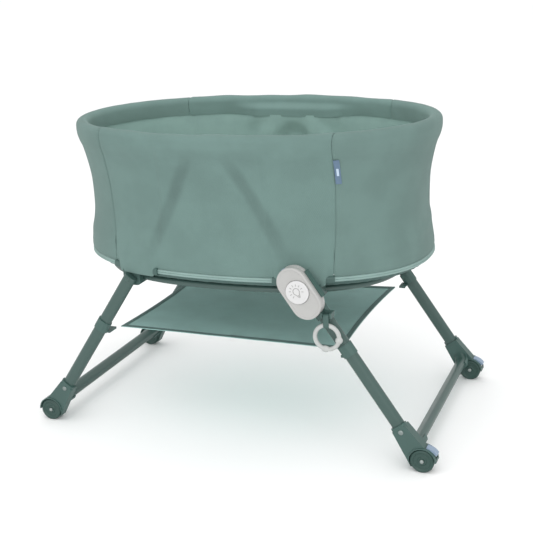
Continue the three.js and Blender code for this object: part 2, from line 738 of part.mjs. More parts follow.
function batteryDoor() {
  const outline = roundedBox(DOOR.wide - 2 * GAP, DOOR.long - 2 * GAP, DOOR.round - GAP);
  return prism(outline, 0, LIGHT.wall);
}

function speaker() {
  const outline = shifted(circle(SPEAKER.r), 0, -SPEAKER.down);
  return prism(outline, boardTop + GAP, LIGHT.deep - LIGHT.wall - GAP);
}

// The holder clips round the leg, backs the light and grips its two sides.
function lightHolder() {
  const back = -GAP - 0.2;
  const plate = prism(stadium(LIGHT.wide - 8, LIGHT.long - 30, 6), back - HOLDER.plate, back);
  const lips = [-1, 1].map((side) => {
    const inner = LIGHT.wide / 2 + GAP;
    const xs = [side * inner, side * (inner + HOLDER.lip)].sort((p, q) => p - q);
    const half = HOLDER.lipLong / 2;
    return block(xs, [-half, half], [back - HOLDER.plate, HOLDER.lipDeep]);
  });
  const half = LIGHT.wide / 2 + GAP + HOLDER.lip - 0.1;
  const wingHalf = HOLDER.lipLong / 2;
  const wings = block([-half, half], [-wingHalf, wingHalf], [back - HOLDER.plate, back]);
  const high = -LIGHT.up - HOLDER.clampFrom;
  const low = high - HOLDER.clampLong;
  const legFace = -lightOff;
  const legMid = legFace - TUBE.thick / 2;
  const ring = tubeOutline(HOLDER.plate);
  const bore = tubeOutline(GAP);
  const clamp = prism(ring, -high, -low, [bore]).rotateX(Math.PI / 2).translate(0, 0, legMid);
  const neckHalf = HOLDER.neck / 2;
  const neck = block([-neckHalf, neckHalf], [low, high + 16], [legFace + 1.5, back - 0.5]);
  return join(plate, ...lips, wings, clamp, neck);
}

const barAt = onLeg(legLength - STRAP.downLeg).addScaledVector(SQUARE, STRAP.aside);
const [barX, barZ] = [barAt.x, barAt.z];
const barY = lightBack + STRAP.out;
const toyZ = barZ - TOY.below;

// Two ears and a bar on the front of the holder's clamp, for the toy's strap.
function strapHanger() {
  const face = LEG_Y + TUBE.thick / 2 + 1.2;
  const reach = barY + STRAP.barR + 2;
  const low = barZ - 5;
  const high = barZ + 6;
  const back = block([barX - 26, barX + 11.5], [-face - 5.5, -face], [low, high]);
  const ears = [-1, 1].map((side) => {
    const xs = [side * 8, side * 11.5].sort((p, q) => p - q).map((x) => barX + x);
    return block(xs, [-reach, -face], [low, high]);
  });
  return join(back, ...ears, strapBar());
}

// A band that hangs from the holder's bar and carries the toy ring.
function strap() {
  const low = toyZ + TOY.ringR - TOY.tubeR - 1.4;
  const high = barZ + STRAP.barR + GAP;
  const middle = (low + high) / 2;
  const tall = high - low;
  const at = (p) => new THREE.Vector2(p.x - barY, p.y + middle);
  const outer = roundedBox(STRAP.gap + 2 * STRAP.thick, tall + 2 * STRAP.thick, 6).map(at);
  const inner = roundedBox(STRAP.gap, tall, 4.5).map(at);
  const band = prism(outer, -STRAP.wide / 2, STRAP.wide / 2, [inner]);
  return alongX(band).translate(barX, 0, 0);
}

function strapBar() {
  const profile = circle(STRAP.barR, 10);
  return alongX(prism(profile, -9.5, 9.5)).translate(barX, -barY, barZ);
}

function toyRing() {
  const torus = new THREE.TorusGeometry(TOY.ringR, TOY.tubeR, 7, 22).rotateX(Math.PI / 2);
  const bead = new THREE.SphereGeometry(TOY.beadR, 10, 7).translate(TOY.ringR, 0, -4);
  const pad = new THREE.SphereGeometry(TOY.padR, 10, 7).scale(1, 0.62, 0.8).translate(-4, 0, -TOY.ringR);
  return join(torus, bead, pad).translate(barX, -barY, toyZ);
}

// A flat tag that lies on the wall beside its seam.
function label() {
  const section = roundedBox(LABEL.wide, LABEL.thick, 0.4, 1);
  const middle = RIM.z - LABEL.belowRim;
  const rows = [middle - LABEL.tall / 2, middle + LABEL.tall / 2].map((z) => {
    const oval = wallOval(z);
    const p = new THREE.Vector3(LABEL.x, -ovalY(oval, LABEL.x), z);
    const out = ovalNormal(oval, p);
    const along = new THREE.Vector3(-out.y, out.x, 0);
    p.addScaledVector(out, LABEL.thick / 2 + 1);
    return section.map((s) => p.clone().addScaledVector(along, s.x).addScaledVector(out, s.y));
  });
  return capped(rows, section);
}

// The assembly.
const tubePaint = finish(PAINT, 0.42, 0.2);
const mould = (tone = PLASTIC) => finish(tone, 0.5);

node(root, "stand_ring", ringTube(STAND_RING, STAND_RING.r), tubePaint);
node(root, "basket_ring", ringTube(BASKET_RING, BASKET_RING.r), finish(SAGE, 0.6));
node(root, "rim_tube", ringTube(RIM, RIM.tubeR), tubePaint);
node(root, "rim_sleeve", rimSleeve(), finish(SAGE, 0.85));
node(root, "fabric_wall", fabricWall(), finish(FABRIC, 0.9));
node(root, "base_board", baseBoard(), finish(FABRIC, 0.8));
node(root, "mattress", mattress(), finish(CREAM, 0.9));
node(root, "label_tag", label(), finish(SLATE, 0.8));

for (const side of [-1, 1]) {
  const sideName = side < 0 ? "left" : "right";
  const end = new THREE.Group();
  end.scale.set(side, 1, 1);
  root.add(end);
  node(end, `${sideName}_leg_frame`, legFrame(), tubePaint);
  node(root, `${sideName}_shelf`, shelfHalf(side), finish(0x56756e, 0.9));
  for (const face of [1, -1]) {
    const place = `${face > 0 ? "front" : "back"}_${sideName}`;
    const corner = new THREE.Group();
    corner.scale.set(side, face, 1);
    root.add(corner);
    node(corner, `${place}_leg_head`, legHead(), mould());
    node(corner, `${place}_leg_pin`, pivotPin(), finish(STEEL, 0.35, 1));
    node(corner, `${place}_foot_casting`, footCasting(side > 0), mould());
    node(corner, `${place}_foot_rivet`, castingRivet(), finish(STEEL, 0.35, 1));
    node(corner, `${place}_wheel`, wheel(), mould(0x47655f));
    node(corner, `${place}_axle`, axle(), finish(STEEL, 0.3, 1));
    node(corner, `${place}_shelf_collar`, shelfCollar(), mould());
    node(corner, `${place}_strut`, sideStrut(), mould(0x46615b));
    if (side > 0) node(corner, `${place}_brake_pedal`, brakePedal(), mould(PEDAL_BLUE));
  }
}
for (const face of [1, -1]) {
  const half = new THREE.Group();
  half.scale.set(1, face, 1);
  root.add(half);
  node(half, `${face > 0 ? "front" : "back"}_rim_block`, rimBlock(), mould());
}

root.add(lightFrame);
node(lightFrame, "light_front_shell", lightFrontShell(), finish(GREY, 0.4));
node(lightFrame, "light_back_shell", lightBackShell(), finish(GREY, 0.4));
node(lightFrame, "light_button", lightButton(), finish(WHITE, 0.3));
node(lightFrame, "light_switch", lightSwitch(), finish(PEDAL_BLUE, 0.5));
node(lightFrame, "circuit_board", circuitBoard(), finish(BOARD_GREEN, 0.6));
node(lightFrame, "battery_pack", batteryPack(), finish(BLACK, 0.5));
node(lightFrame, "battery_door", batteryDoor(), finish(GREY, 0.45));
node(lightFrame, "speaker", speaker(), finish(BLACK, 0.6));
lightFrame.updateMatrixWorld(true);
const holder = join(lightHolder().applyMatrix4(lightFrame.matrixWorld), strapHanger());
node(root, "light_holder", holder, mould());
node(root, "toy_strap", strap(), finish(FABRIC, 0.9));
node(root, "toy_ring", toyRing(), finish(GREY, 0.4));

export default root;
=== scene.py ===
"""A bassinet on a folding stand: its visible surfaces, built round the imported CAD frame, in metres."""
import logging
import math
from collections.abc import Callable, Sequence
from dataclasses import dataclass, field
from enum import Enum

import bmesh
import bpy
import numpy as np
from mathutils import Matrix, Vector, noise


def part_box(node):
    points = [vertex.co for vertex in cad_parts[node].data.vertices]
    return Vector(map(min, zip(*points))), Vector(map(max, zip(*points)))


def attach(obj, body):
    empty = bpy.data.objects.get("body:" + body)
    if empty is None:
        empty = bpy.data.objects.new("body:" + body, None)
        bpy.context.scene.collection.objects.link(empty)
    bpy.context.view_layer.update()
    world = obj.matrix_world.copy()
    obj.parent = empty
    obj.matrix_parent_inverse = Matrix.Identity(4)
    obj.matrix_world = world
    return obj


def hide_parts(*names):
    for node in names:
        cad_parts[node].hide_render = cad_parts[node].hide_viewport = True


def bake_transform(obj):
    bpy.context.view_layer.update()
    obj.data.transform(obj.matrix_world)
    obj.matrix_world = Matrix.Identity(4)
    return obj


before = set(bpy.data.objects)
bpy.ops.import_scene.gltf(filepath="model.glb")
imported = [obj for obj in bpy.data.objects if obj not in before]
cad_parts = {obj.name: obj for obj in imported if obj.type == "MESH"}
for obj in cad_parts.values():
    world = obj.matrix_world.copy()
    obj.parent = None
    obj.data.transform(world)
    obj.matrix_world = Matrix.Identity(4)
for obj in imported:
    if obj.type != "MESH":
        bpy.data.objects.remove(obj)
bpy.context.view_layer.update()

LOG = logging.getLogger("bassinet")
MM = 0.001
SIDES = (("right", 1), ("left", -1))
FACES = (("front", -1), ("back", 1))
CORNERS = [(f"{face}_{side}", sx, sy) for face, sy in FACES for side, sx in SIDES]


# ---------------------------------------------------------------- shared helpers

def linear(colour: str) -> tuple[float, float, float, float]:
    """Turns an sRGB hex colour into linear RGBA.

    Args:
        colour: six hex digits after a hash sign.

    Returns:
        The linear red, green and blue, and an alpha of one.
    """
    parts = [int(colour[i:i + 2], 16) / 255 for i in (1, 3, 5)]
    return (*[c / 12.92 if c <= 0.04045 else ((c + 0.055) / 1.055) ** 2.4 for c in parts], 1.0)


def add_node(tree: bpy.types.NodeTree, kind: str, settings: dict | None = None, values: dict | None = None,
             links: dict | None = None) -> bpy.types.Node:
    """Adds one shader node.

    Args:
        tree: the material's node tree.
        kind: the node's type, such as ShaderNodeTexNoise.
        settings: attributes of the node.
        values: constants for its inputs, by name or number.
        links: output sockets for its inputs, by name or number.

    Returns:
        The new node.
    """
    node = tree.nodes.new(kind)
    for key, value in (settings or {}).items():
        setattr(node, key, value)
    for key, value in (values or {}).items():
        node.inputs[key].default_value = value
    for key, socket in (links or {}).items():
        tree.links.new(socket, node.inputs[key])
    return node


def only(piece: bpy.types.Object) -> bpy.types.Object:
    """Makes one object the only selected one, and the active one."""
    for other in bpy.context.selected_objects:
        other.select_set(False)
    piece.select_set(True)
    bpy.context.view_layer.objects.active = piece
    return piece


def clear_selection() -> None:
    """Leaves nothing selected, before a primitive is added."""
    for other in bpy.context.selected_objects:
        other.select_set(False)


def named(name: str) -> bpy.types.Object:
    """Names the primitive just added, and settles its place into its mesh."""
    piece = bpy.context.active_object
    piece.name = name
    piece.data.name = name
    bpy.ops.object.transform_apply(location=True, rotation=True, scale=True)
    return piece


class Pick(Enum):
    """What an edit-mode selection holds."""

    VERTS = "VERT"
    EDGES = "EDGE"
    FACES = "FACE"


def edit(piece: bpy.types.Object, pick: Pick, test: Callable, work: Callable[[], object]) -> None:
    """Selects part of a mesh by a rule and runs edit-mode operators on it.

    Args:
        piece: the object.
        pick: the kind of element that the rule is asked about.
        test: says of a bmesh element whether it is selected.
        work: runs the operators, in edit mode.
    """
    only(piece)
    bpy.ops.object.mode_set(mode="EDIT")
    bpy.ops.mesh.select_mode(type=pick.value)
    bpy.ops.mesh.select_all(action="DESELECT")
    mesh = bmesh.from_edit_mesh(piece.data)
    group = {Pick.VERTS: mesh.verts, Pick.EDGES: mesh.edges, Pick.FACES: mesh.faces}[pick]
    for element in group:
        if test(element):
            element.select_set(True)
    mesh.select_flush_mode()
    bmesh.update_edit_mesh(piece.data)
    work()
    bpy.ops.object.mode_set(mode="OBJECT")


def everything(_: object) -> bool:
    """Selects every element."""
    return True


def outward(piece: bpy.types.Object) -> bpy.types.Object:
    """Merges doubled points and turns every face outwards."""
    def work() -> None:
        bpy.ops.mesh.remove_doubles(threshold=1e-6)
        bpy.ops.mesh.normals_make_consistent(inside=False)
    edit(piece, Pick.VERTS, everything, work)
    return piece


def modify(piece: bpy.types.Object, kind: str, **settings: object) -> bpy.types.Object:
    """Adds a modifier and applies it.

    Args:
        piece: the object.
        kind: the modifier's type, such as BEVEL.
        **settings: the modifier's attributes.

    Returns:
        The same object.
    """
    only(piece)
    modifier = piece.modifiers.new(kind.lower(), kind)
    for key, value in settings.items():
        setattr(modifier, key, value)
    bpy.ops.object.modifier_apply(modifier=modifier.name)
    return piece


def soften(piece: bpy.types.Object, width: float, segments: int = 2, angle: float = 35) -> bpy.types.Object:
    """Rounds the sharp edges, as a mould does, and shades the rest smooth."""
    modify(piece, "BEVEL", width=width, segments=segments, limit_method="ANGLE",
           angle_limit=math.radians(angle), harden_normals=False, use_clamp_overlap=True)
    return smooth(piece, angle)


def smooth(piece: bpy.types.Object, angle: float = 40) -> bpy.types.Object:
    """Shades smooth, and keeps edges sharper than an angle."""
    only(piece)
    bpy.ops.object.shade_smooth_by_angle(angle=math.radians(angle))
    return piece


def cut_with(piece: bpy.types.Object, *tools: bpy.types.Object, operation: str = "DIFFERENCE") -> bpy.types.Object:
    """Cuts a closed mesh with others, or joins it to them, and removes the others."""
    for tool in tools:
        modify(piece, "BOOLEAN", object=tool, operation=operation, solver="EXACT")
        bpy.data.objects.remove(tool)
    return piece


def copy_of(piece: bpy.types.Object, name: str) -> bpy.types.Object:
    """Copies an object with a mesh of its own."""
    twin = piece.copy()
    twin.data = piece.data.copy()
    twin.name = name
    twin.data.name = name
    bpy.context.scene.collection.objects.link(twin)
    return twin


def mirrored(piece: bpy.types.Object, name: str, x: int = 1, y: int = 1) -> bpy.types.Object:
    """Copies a piece to the other side of the object, and keeps its faces outwards.

    Args:
        piece: the piece to copy.
        name: the copy's name.
        x: -1 to mirror from right to left.
        y: -1 to mirror from front to back.

    Returns:
        The copy, with its place in its mesh.
    """
    twin = copy_of(piece, name)
    twin.data.transform(Matrix.Diagonal((x, y, 1, 1)))
    if x * y < 0:
        twin.data.flip_normals()
    return twin


def formed(name: str, around: int, along: int, place: Callable[[float, float], Vector],
           size: tuple[float, float] = (1, 1)) -> bpy.types.Object:
    """Adds a grid and puts each of its points where a rule of two shares says.

    Args:
        name: the piece's name.
        around: the number of steps in the first share.
        along: the number of steps in the second share.
        place: gives the point for two shares from 0 to 1.
        size: the grid's real width and length, in metres, which its UV map keeps.

    Returns:
        The object. Where the rule comes back to its start, the points are merged later by outward().
    """
    clear_selection()
    bpy.ops.mesh.primitive_grid_add(x_subdivisions=around, y_subdivisions=along, size=1, location=(0, 0, 0))
    piece = named(name)
    count = len(piece.data.vertices)
    flat = np.zeros(count * 3, np.float32)
    piece.data.vertices.foreach_get("co", flat)
    shares = flat.reshape(-1, 3)[:, :2] + 0.5
    points = [place(float(u), float(v)) for u, v in shares.clip(0.0, 1.0)]
    piece.data.vertices.foreach_set("co", np.array(points, np.float32).ravel())
    layer = piece.data.uv_layers.active
    uv = np.zeros(len(layer.data) * 2, np.float32)
    layer.data.foreach_get("uv", uv)
    layer.data.foreach_set("uv", (uv.reshape(-1, 2) * np.array(size, np.float32)).ravel())
    piece.data.update()
    return piece


def close_ends(piece: bpy.types.Object) -> bpy.types.Object:
    """Fills the open ends of a tube."""
    def work() -> None:
        bpy.ops.mesh.edge_face_add()
    for loop in open_loops(piece):
        edit(piece, Pick.EDGES, lambda e, loop=loop: e.is_boundary and e.verts[0].index in loop, work)
    return piece


def open_loops(piece: bpy.types.Object) -> list[set[int]]:
    """The sets of points round each opening of a mesh."""
    mesh = bmesh.new()
    mesh.from_mesh(piece.data)
    edges = [e for e in mesh.edges if e.is_boundary]
    loops: list[set[int]] = []
    left = {v.index: v for e in edges for v in e.verts}
    while left:
        found: set[int] = set()
        edge_of = [next(iter(left.values()))]
        while edge_of:
            vert = edge_of.pop()
            if vert.index in found:
                continue
            found.add(vert.index)
            edge_of += [e.other_vert(vert) for e in vert.link_edges if e.is_boundary]
        loops.append(found)
        left = {i: v for i, v in left.items() if i not in found}
    mesh.free()
    return loops


def spun(name: str, profile: Sequence[tuple[float, float]], centre: Vector, steps: int = 64) -> bpy.types.Object:
    """Spins a profile into a turned piece whose axis is along Y.

    Args:
        name: the piece's name.
        profile: points of (radius, distance along Y) in metres, from the axis back to the axis.
        centre: the piece's place.
        steps: the number of steps in the full turn.

    Returns:
        The closed piece.
    """
    clear_selection()
    bpy.ops.mesh.primitive_circle_add(vertices=max(3, len(profile)), radius=1, fill_type="NOTHING")
    piece = named(name)
    mesh = bmesh.new()
    mesh.from_mesh(piece.data)
    mesh.verts.ensure_lookup_table()
    for vert, (r, y) in zip(mesh.verts, profile):
        vert.co = Vector((r, y, 0))
    last = [e for e in mesh.edges if {v.index for v in e.verts} == {0, len(profile) - 1}]
    if abs(profile[0][0]) < 1e-9 and abs(profile[-1][0]) < 1e-9:
        bmesh.ops.delete(mesh, geom=last, context="EDGES_FACES")
        mesh.verts.ensure_lookup_table()
    mesh.to_mesh(piece.data)
    mesh.free()

    def work() -> None:
        bpy.ops.mesh.spin(steps=steps, angle=2 * math.pi, center=(0, 0, 0), axis=(0, 1, 0))
        bpy.ops.mesh.select_all(action="SELECT")
        bpy.ops.mesh.remove_doubles(threshold=1e-7)
        bpy.ops.mesh.normals_make_consistent(inside=False)
    edit(piece, Pick.VERTS, everything, work)
    piece.data.transform(Matrix.Translation(centre))
    return smooth(piece, 35)


def stadium(wide: float, tall: float, steps: int = 12) -> list[tuple[float, float]]:
    """The outline of a bar with two round ends, evenly round each end.

    Args:
        wide: its size along the first axis.
        tall: its size along the second axis.
        steps: the number of steps in each half circle.

    Returns:
        The points, anticlockwise.
    """
    r = min(wide, tall) / 2
    dx, dy = wide / 2 - r, tall / 2 - r
    ends = [(dx, dy, -90 if dx > dy else 0), (-dx, -dy, 90 if dx > dy else 180)]
    points = []
    for cx, cy, start in ends:
        for i in range(steps + 1):
            t = math.radians(start + 180 * i / steps)
            points.append((cx + r * math.cos(t), cy + r * math.sin(t)))
    return points


def plate(name: str, outline: Sequence[tuple[float, float]], low: float, high: float) -> bpy.types.Object:
    """Extrudes a flat outline in X and Y from one height to another.

    Args:
        name: the piece's name.
        outline: the outline's points.
        low: the lower height.
        high: the upper height.

    Returns:
        The closed plate.
    """
    clear_selection()
    bpy.ops.mesh.primitive_circle_add(vertices=len(outline), radius=1, fill_type="NGON")
    piece = named(name)
    for vert, (x, y) in zip(piece.data.vertices, outline):
        vert.co = Vector((x, y, low))

    def work() -> None:
        bpy.ops.mesh.extrude_region_move(TRANSFORM_OT_translate={"value": (0, 0, high - low)})
        bpy.ops.mesh.select_all(action="SELECT")
        bpy.ops.mesh.normals_make_consistent(inside=False)
    edit(piece, Pick.FACES, everything, work)
    return piece


# ---------------------------------------------------------------- finishes

@dataclass(frozen=True)
class Finish:
    """What a surface is made of. Each kind adds its own pattern to a plain coloured shader."""

    name: str
    colour: str
    roughness: float

    def made(self) -> bpy.types.Material:
        """The material, made once and shared."""
        known = bpy.data.materials.get(self.name)
        if known:
            return known
        material = bpy.data.materials.new(self.name)
        material.use_nodes = True
        tree = material.node_tree
        shader = tree.nodes["Principled BSDF"]
        shader.inputs["Base Color"].default_value = linear(self.colour)
        shader.inputs["Roughness"].default_value = self.roughness
        self.pattern(tree, shader)
        return material

    def pattern(self, tree: bpy.types.NodeTree, shader: bpy.types.Node) -> None:
        """Adds this finish's own nodes. A plain finish has none."""

    def tinted(self, tree: bpy.types.NodeTree, shader: bpy.types.Node, share: bpy.types.NodeSocket,
               dark: float, light: float) -> None:
        """Varies the colour's brightness with a pattern.

        Args:
            tree: the material's node tree.
            shader: the surface shader.
            share: the pattern, from 0 to 1.
            dark: the colour's brightness where the pattern is 0.
            light: the colour's brightness where the pattern is 1.
        """
        base = linear(self.colour)
        ramp = add_node(tree, "ShaderNodeMix", {"data_type": "RGBA", "clamp_factor": False},
                        {6: (*[c * dark for c in base[:3]], 1), 7: (*[min(1, c * light) for c in base[:3]], 1)},
                        {0: share})
        tree.links.new(ramp.outputs[2], shader.inputs["Base Color"])

    def raised(self, tree: bpy.types.NodeTree, shader: bpy.types.Node, height: bpy.types.NodeSocket,
               depth: float, strength: float) -> None:
        """Raises the surface with a pattern, to a depth in metres."""
        bump = add_node(tree, "ShaderNodeBump", {}, {"Strength": strength, "Distance": depth}, {"Height": height})
        tree.links.new(bump.outputs[0], shader.inputs["Normal"])


def speckle(tree: bpy.types.NodeTree, size: float, detail: float = 2) -> bpy.types.NodeSocket:
    """Noise on object coordinates whose blotches are about a given size.

    Args:
        tree: the material's node tree.
        size: the size of a blotch, in metres.
        detail: the number of finer layers.

    Returns:
        The noise, from 0 to 1.
    """
    where = add_node(tree, "ShaderNodeTexCoord")
    return add_node(tree, "ShaderNodeTexNoise", {}, {"Scale": 1 / size, "Detail": detail, "Roughness": 0.55},
                    {"Vector": where.outputs["Object"]}).outputs[0]


def lattice(tree: bpy.types.NodeTree, across: float, up: float) -> bpy.types.NodeSocket:
    """A staggered lattice of soft dots on the cloth's own UV map, which is in metres.

    Args:
        tree: the material's node tree.
        across: the distance from one dot to the next in a row, in metres.
        up: the distance between two rows with their dots in line, in metres.

    Returns:
        The pattern, from -1 to 1.
    """
    where = add_node(tree, "ShaderNodeUVMap")
    scaled = add_node(tree, "ShaderNodeMapping", {}, {"Scale": (2 * math.pi / across, 2 * math.pi / up, 1)},
                      {"Vector": where.outputs[0]})
    parts = add_node(tree, "ShaderNodeSeparateXYZ", links={0: scaled.outputs[0]})
    waves = [add_node(tree, "ShaderNodeMath", {"operation": "COSINE"}, links={0: parts.outputs[i]}) for i in (0, 1)]
    return add_node(tree, "ShaderNodeMath", {"operation": "MULTIPLY"},
                    links={0: waves[0].outputs[0], 1: waves[1].outputs[0]}).outputs[0]


def combined(tree: bpy.types.NodeTree, operation: str, first: bpy.types.NodeSocket,
             second: bpy.types.NodeSocket | float) -> bpy.types.NodeSocket:
    """Joins two patterns, or a pattern and a number, by arithmetic."""
    if isinstance(second, float):
        return add_node(tree, "ShaderNodeMath", {"operation": operation}, {1: second}, {0: first}).outputs[0]
    return add_node(tree, "ShaderNodeMath", {"operation": operation}, links={0: first, 1: second}).outputs[0]


def ranged(tree: bpy.types.NodeTree, pattern: bpy.types.NodeSocket, low: float, high: float) -> bpy.types.NodeSocket:
    """Stretches a pattern's values between two numbers to run smoothly from 0 to 1."""
    return add_node(tree, "ShaderNodeMapRange", {"interpolation_type": "SMOOTHSTEP"},
                    {"From Min": low, "From Max": high}, {"Value": pattern}).outputs[0]


@dataclass(frozen=True)
class WovenCloth(Finish):
    """Woven polyester: short fibres give it a soft sheen at grazing angles, and the threads catch the light."""

    thread: float = 1.5 * MM
    relief: float = 0.25 * MM
    sheen: float = 0.05

    def fibres(self, shader: bpy.types.Node, spread: float) -> None:
        """Gives the cloth the soft sheen of its fibres, spread by a roughness."""
        shader.inputs["Sheen Weight"].default_value = self.sheen
        shader.inputs["Sheen Roughness"].default_value = spread

    def pattern(self, tree: bpy.types.NodeTree, shader: bpy.types.Node) -> None:
        """Adds the plain weave, and slow changes of tone as in dyed cloth."""
        self.fibres(shader, 0.45)
        shader.inputs["Specular IOR Level"].default_value = 0.3
        weave = lattice(tree, 2 * self.thread, 2 * self.thread)
        tone = combined(tree, "ADD", ranged(tree, speckle(tree, 60 * MM, 3), 0.3, 0.7),
                        combined(tree, "MULTIPLY", weave, 0.35))
        self.tinted(tree, shader, ranged(tree, tone, -0.4, 1.4), 0.94, 1.06)
        self.raised(tree, shader, weave, self.relief, 0.5)


@dataclass(frozen=True)
class AirMesh(WovenCloth):
    """Knitted spacer mesh: rows of staggered eyelets, which look darker; its attribute paints shade where struts
    stand behind it, and paints light on the band inside the rim.
    """

    eyelet: float = 3.6 * MM
    row: float = 3.0 * MM

    def pattern(self, tree: bpy.types.NodeTree, shader: bpy.types.Node) -> None:
        """Adds the eyelets, and from the mesh's own attribute the painted shade of the struts and the painted light
        on the band inside the rim.
        """
        self.fibres(shader, 0.45)
        shader.inputs["Specular IOR Level"].default_value = 0.3
        eyelets = lattice(tree, self.eyelet, self.row)
        holes = ranged(tree, eyelets, 0.25, 0.85)
        behind = add_node(tree, "ShaderNodeAttribute", {"attribute_name": "behind"}).outputs["Fac"]
        tone = combined(tree, "MULTIPLY", ranged(tree, speckle(tree, 70 * MM, 3), 0.3, 0.7), 0.3)
        # painted shade of the struts, or painted light inside the rim where the attribute is below zero
        shade = combined(tree, "ADD", combined(tree, "MULTIPLY", holes, 0.55), behind)
        self.tinted(tree, shader, combined(tree, "ADD", tone, shade), 1.05, 0.72)
        self.raised(tree, shader, combined(tree, "MULTIPLY", eyelets, -1.0), self.relief, 0.6)


@dataclass(frozen=True)
class Quilting(WovenCloth):
    """Brushed polyester over wadding, quilted in diamonds."""

    diamond: float = 55 * MM

    def pattern(self, tree: bpy.types.NodeTree, shader: bpy.types.Node) -> None:
        """Adds soft diamonds, whose valleys are the stitched lines, and painted shade that darkens the valleys."""
        self.fibres(shader, 0.5)
        where = add_node(tree, "ShaderNodeTexCoord")
        turned = add_node(tree, "ShaderNodeMapping", {},
                          {"Rotation": (0, 0, math.pi / 4), "Scale": (math.pi / self.diamond,) * 2 + (0,)},
                          {"Vector": where.outputs["Object"]})
        parts = add_node(tree, "ShaderNodeSeparateXYZ", links={0: turned.outputs[0]})
        sines = []
        for i in (0, 1):
            wave = add_node(tree, "ShaderNodeMath", {"operation": "SINE"}, links={0: parts.outputs[i]})
            sines.append(add_node(tree, "ShaderNodeMath", {"operation": "ABSOLUTE"},
                                  links={0: wave.outputs[0]}).outputs[0])
        least = combined(tree, "MINIMUM", sines[0], sines[1])
        pillow = ranged(tree, least, 0.0, 0.35)
        fibre = combined(tree, "MULTIPLY", speckle(tree, 1.2 * MM, 2), 0.12)
        # painted shade: the stitched valleys are coloured darker than the crowns of the diamonds
        self.tinted(tree, shader, pillow, 0.9, 1.02)
        self.raised(tree, shader, combined(tree, "ADD", pillow, fibre), 2.5 * MM, 0.6)


@dataclass(frozen=True)
class Moulded(Finish):
    """Injection-moulded plastic: a fine eroded texture from the mould, uneven in gloss, with paler edges."""

    grit: float = 0.9 * MM
    relief: float = 0.05 * MM

    def pattern(self, tree: bpy.types.NodeTree, shader: bpy.types.Node) -> None:
        """Adds the mould's texture, a slow change of gloss, and paler edges."""
        shader.inputs["IOR"].default_value = 1.5
        grain = speckle(tree, self.grit, 2)
        slow = speckle(tree, 35 * MM, 3)
        worn = ranged(tree, add_node(tree, "ShaderNodeNewGeometry").outputs["Pointiness"], 0.52, 0.62)
        tone = combined(tree, "ADD", combined(tree, "MULTIPLY", slow, 0.6), combined(tree, "MULTIPLY", worn, 0.5))
        self.tinted(tree, shader, tone, 0.94, 1.1)
        spread = add_node(tree, "ShaderNodeMapRange", {},
                          {"To Min": self.roughness - 0.07, "To Max": self.roughness + 0.07}, {"Value": slow})
        tree.links.new(spread.outputs[0], shader.inputs["Roughness"])
        self.raised(tree, shader, grain, self.relief, 0.5)


@dataclass(frozen=True)
class PowderCoat(Moulded):
    """Steel tube with baked powder paint: a smooth skin with a faint orange peel."""

    grit: float = 2.2 * MM
    relief: float = 0.04 * MM

    def pattern(self, tree: bpy.types.NodeTree, shader: bpy.types.Node) -> None:
        """Adds the orange peel under a thin clear gloss."""
        super().pattern(tree, shader)
        shader.inputs["Coat Weight"].default_value = 0.15
        shader.inputs["Coat Roughness"].default_value = 0.25


@dataclass(frozen=True)
class ZincPlate(Finish):
    """Zinc-plated steel: a grey metal with a cloudy, finely grained face."""

    def pattern(self, tree: bpy.types.NodeTree, shader: bpy.types.Node) -> None:
        """Adds the plating's clouds and fine grain."""
        shader.inputs["Metallic"].default_value = 1
        clouds = speckle(tree, 4 * MM, 3)
        self.tinted(tree, shader, clouds, 0.8, 1.1)
        self.raised(tree, shader, speckle(tree, 0.5 * MM, 1), 0.02 * MM, 0.3)


SIDE_MESH = AirMesh("knitted_air_mesh_sage", "#667f7a", 0.86)
END_MESH = AirMesh("knitted_end_mesh_sage", "#657d78", 0.84, eyelet=3.0 * MM, row=2.4 * MM)
# the lining is coloured paler than the cover, as painted light against the shade inside the basket
LINING = WovenCloth("woven_lining_sage", "#85a19b", 0.88)
PIPING = WovenCloth("piping_tape_sage", "#859e99", 0.7, thread=0.9 * MM)
# the base's cloth is coloured darker than the cover, as painted shade in the gap above the stand
GATHERED = WovenCloth("gathered_base_cloth", "#4a625e", 0.85)
# the shelf cloth is coloured paler, as painted light against the shade under the basket
SHELF_CLOTH = WovenCloth("coated_oxford_shelf_cloth", "#9abfba", 0.78, thread=0.9 * MM)
HEM_TAPE = WovenCloth("folded_hem_tape", "#5a7672", 0.75, thread=0.8 * MM)
SEWING = WovenCloth("sewing_thread_sage", "#6d8882", 0.7, thread=0.4 * MM)
BOARD_CLOTH = WovenCloth("board_cover_cloth", "#6f8883", 0.88)
COVER = Quilting("quilted_mattress_cover", "#e6e6e0", 0.9)
TAG = WovenCloth("woven_label_slate", "#60758a", 0.75, thread=0.5 * MM)
TAG_MARK = WovenCloth("woven_label_mark", "#b9cadb", 0.7, thread=0.4 * MM)
PAINT = PowderCoat("powder_coated_steel_green", "#364f4a", 0.42)
MOULDING = Moulded("moulded_nylon_green", "#39544f", 0.5)
WHEEL_FACE = Moulded("moulded_wheel_green", "#29453f", 0.46)
# a black band that stands for the shadow in the gap between the light's shells: painted shadow
DARK = Moulded("shadow_gap_black", "#141816", 0.7)
PEDAL = Moulded("moulded_pedal_blue_grey", "#7f91a5", 0.45)
SHELL = Moulded("moulded_abs_light_grey", "#a8a8a6", 0.4, grit=0.8 * MM, relief=0.03 * MM)
BUTTON = Moulded("moulded_button_white", "#c6c6c6", 0.34, grit=0.7 * MM, relief=0.02 * MM)
ICON = Moulded("icon_groove_grey", "#858583", 0.5)
RING = Moulded("moulded_toy_ring_grey", "#adb0ae", 0.42)
ZINC = ZincPlate("zinc_plated_steel", "#8c9694", 0.36)
AXLE_CAP = ZincPlate("nickel_axle_end", "#a4acaa", 0.3)
RESIST = Moulded("solder_resist_green", "#2f6b3f", 0.35, grit=0.6 * MM)
BLACK = Moulded("moulded_black", "#232423", 0.5)


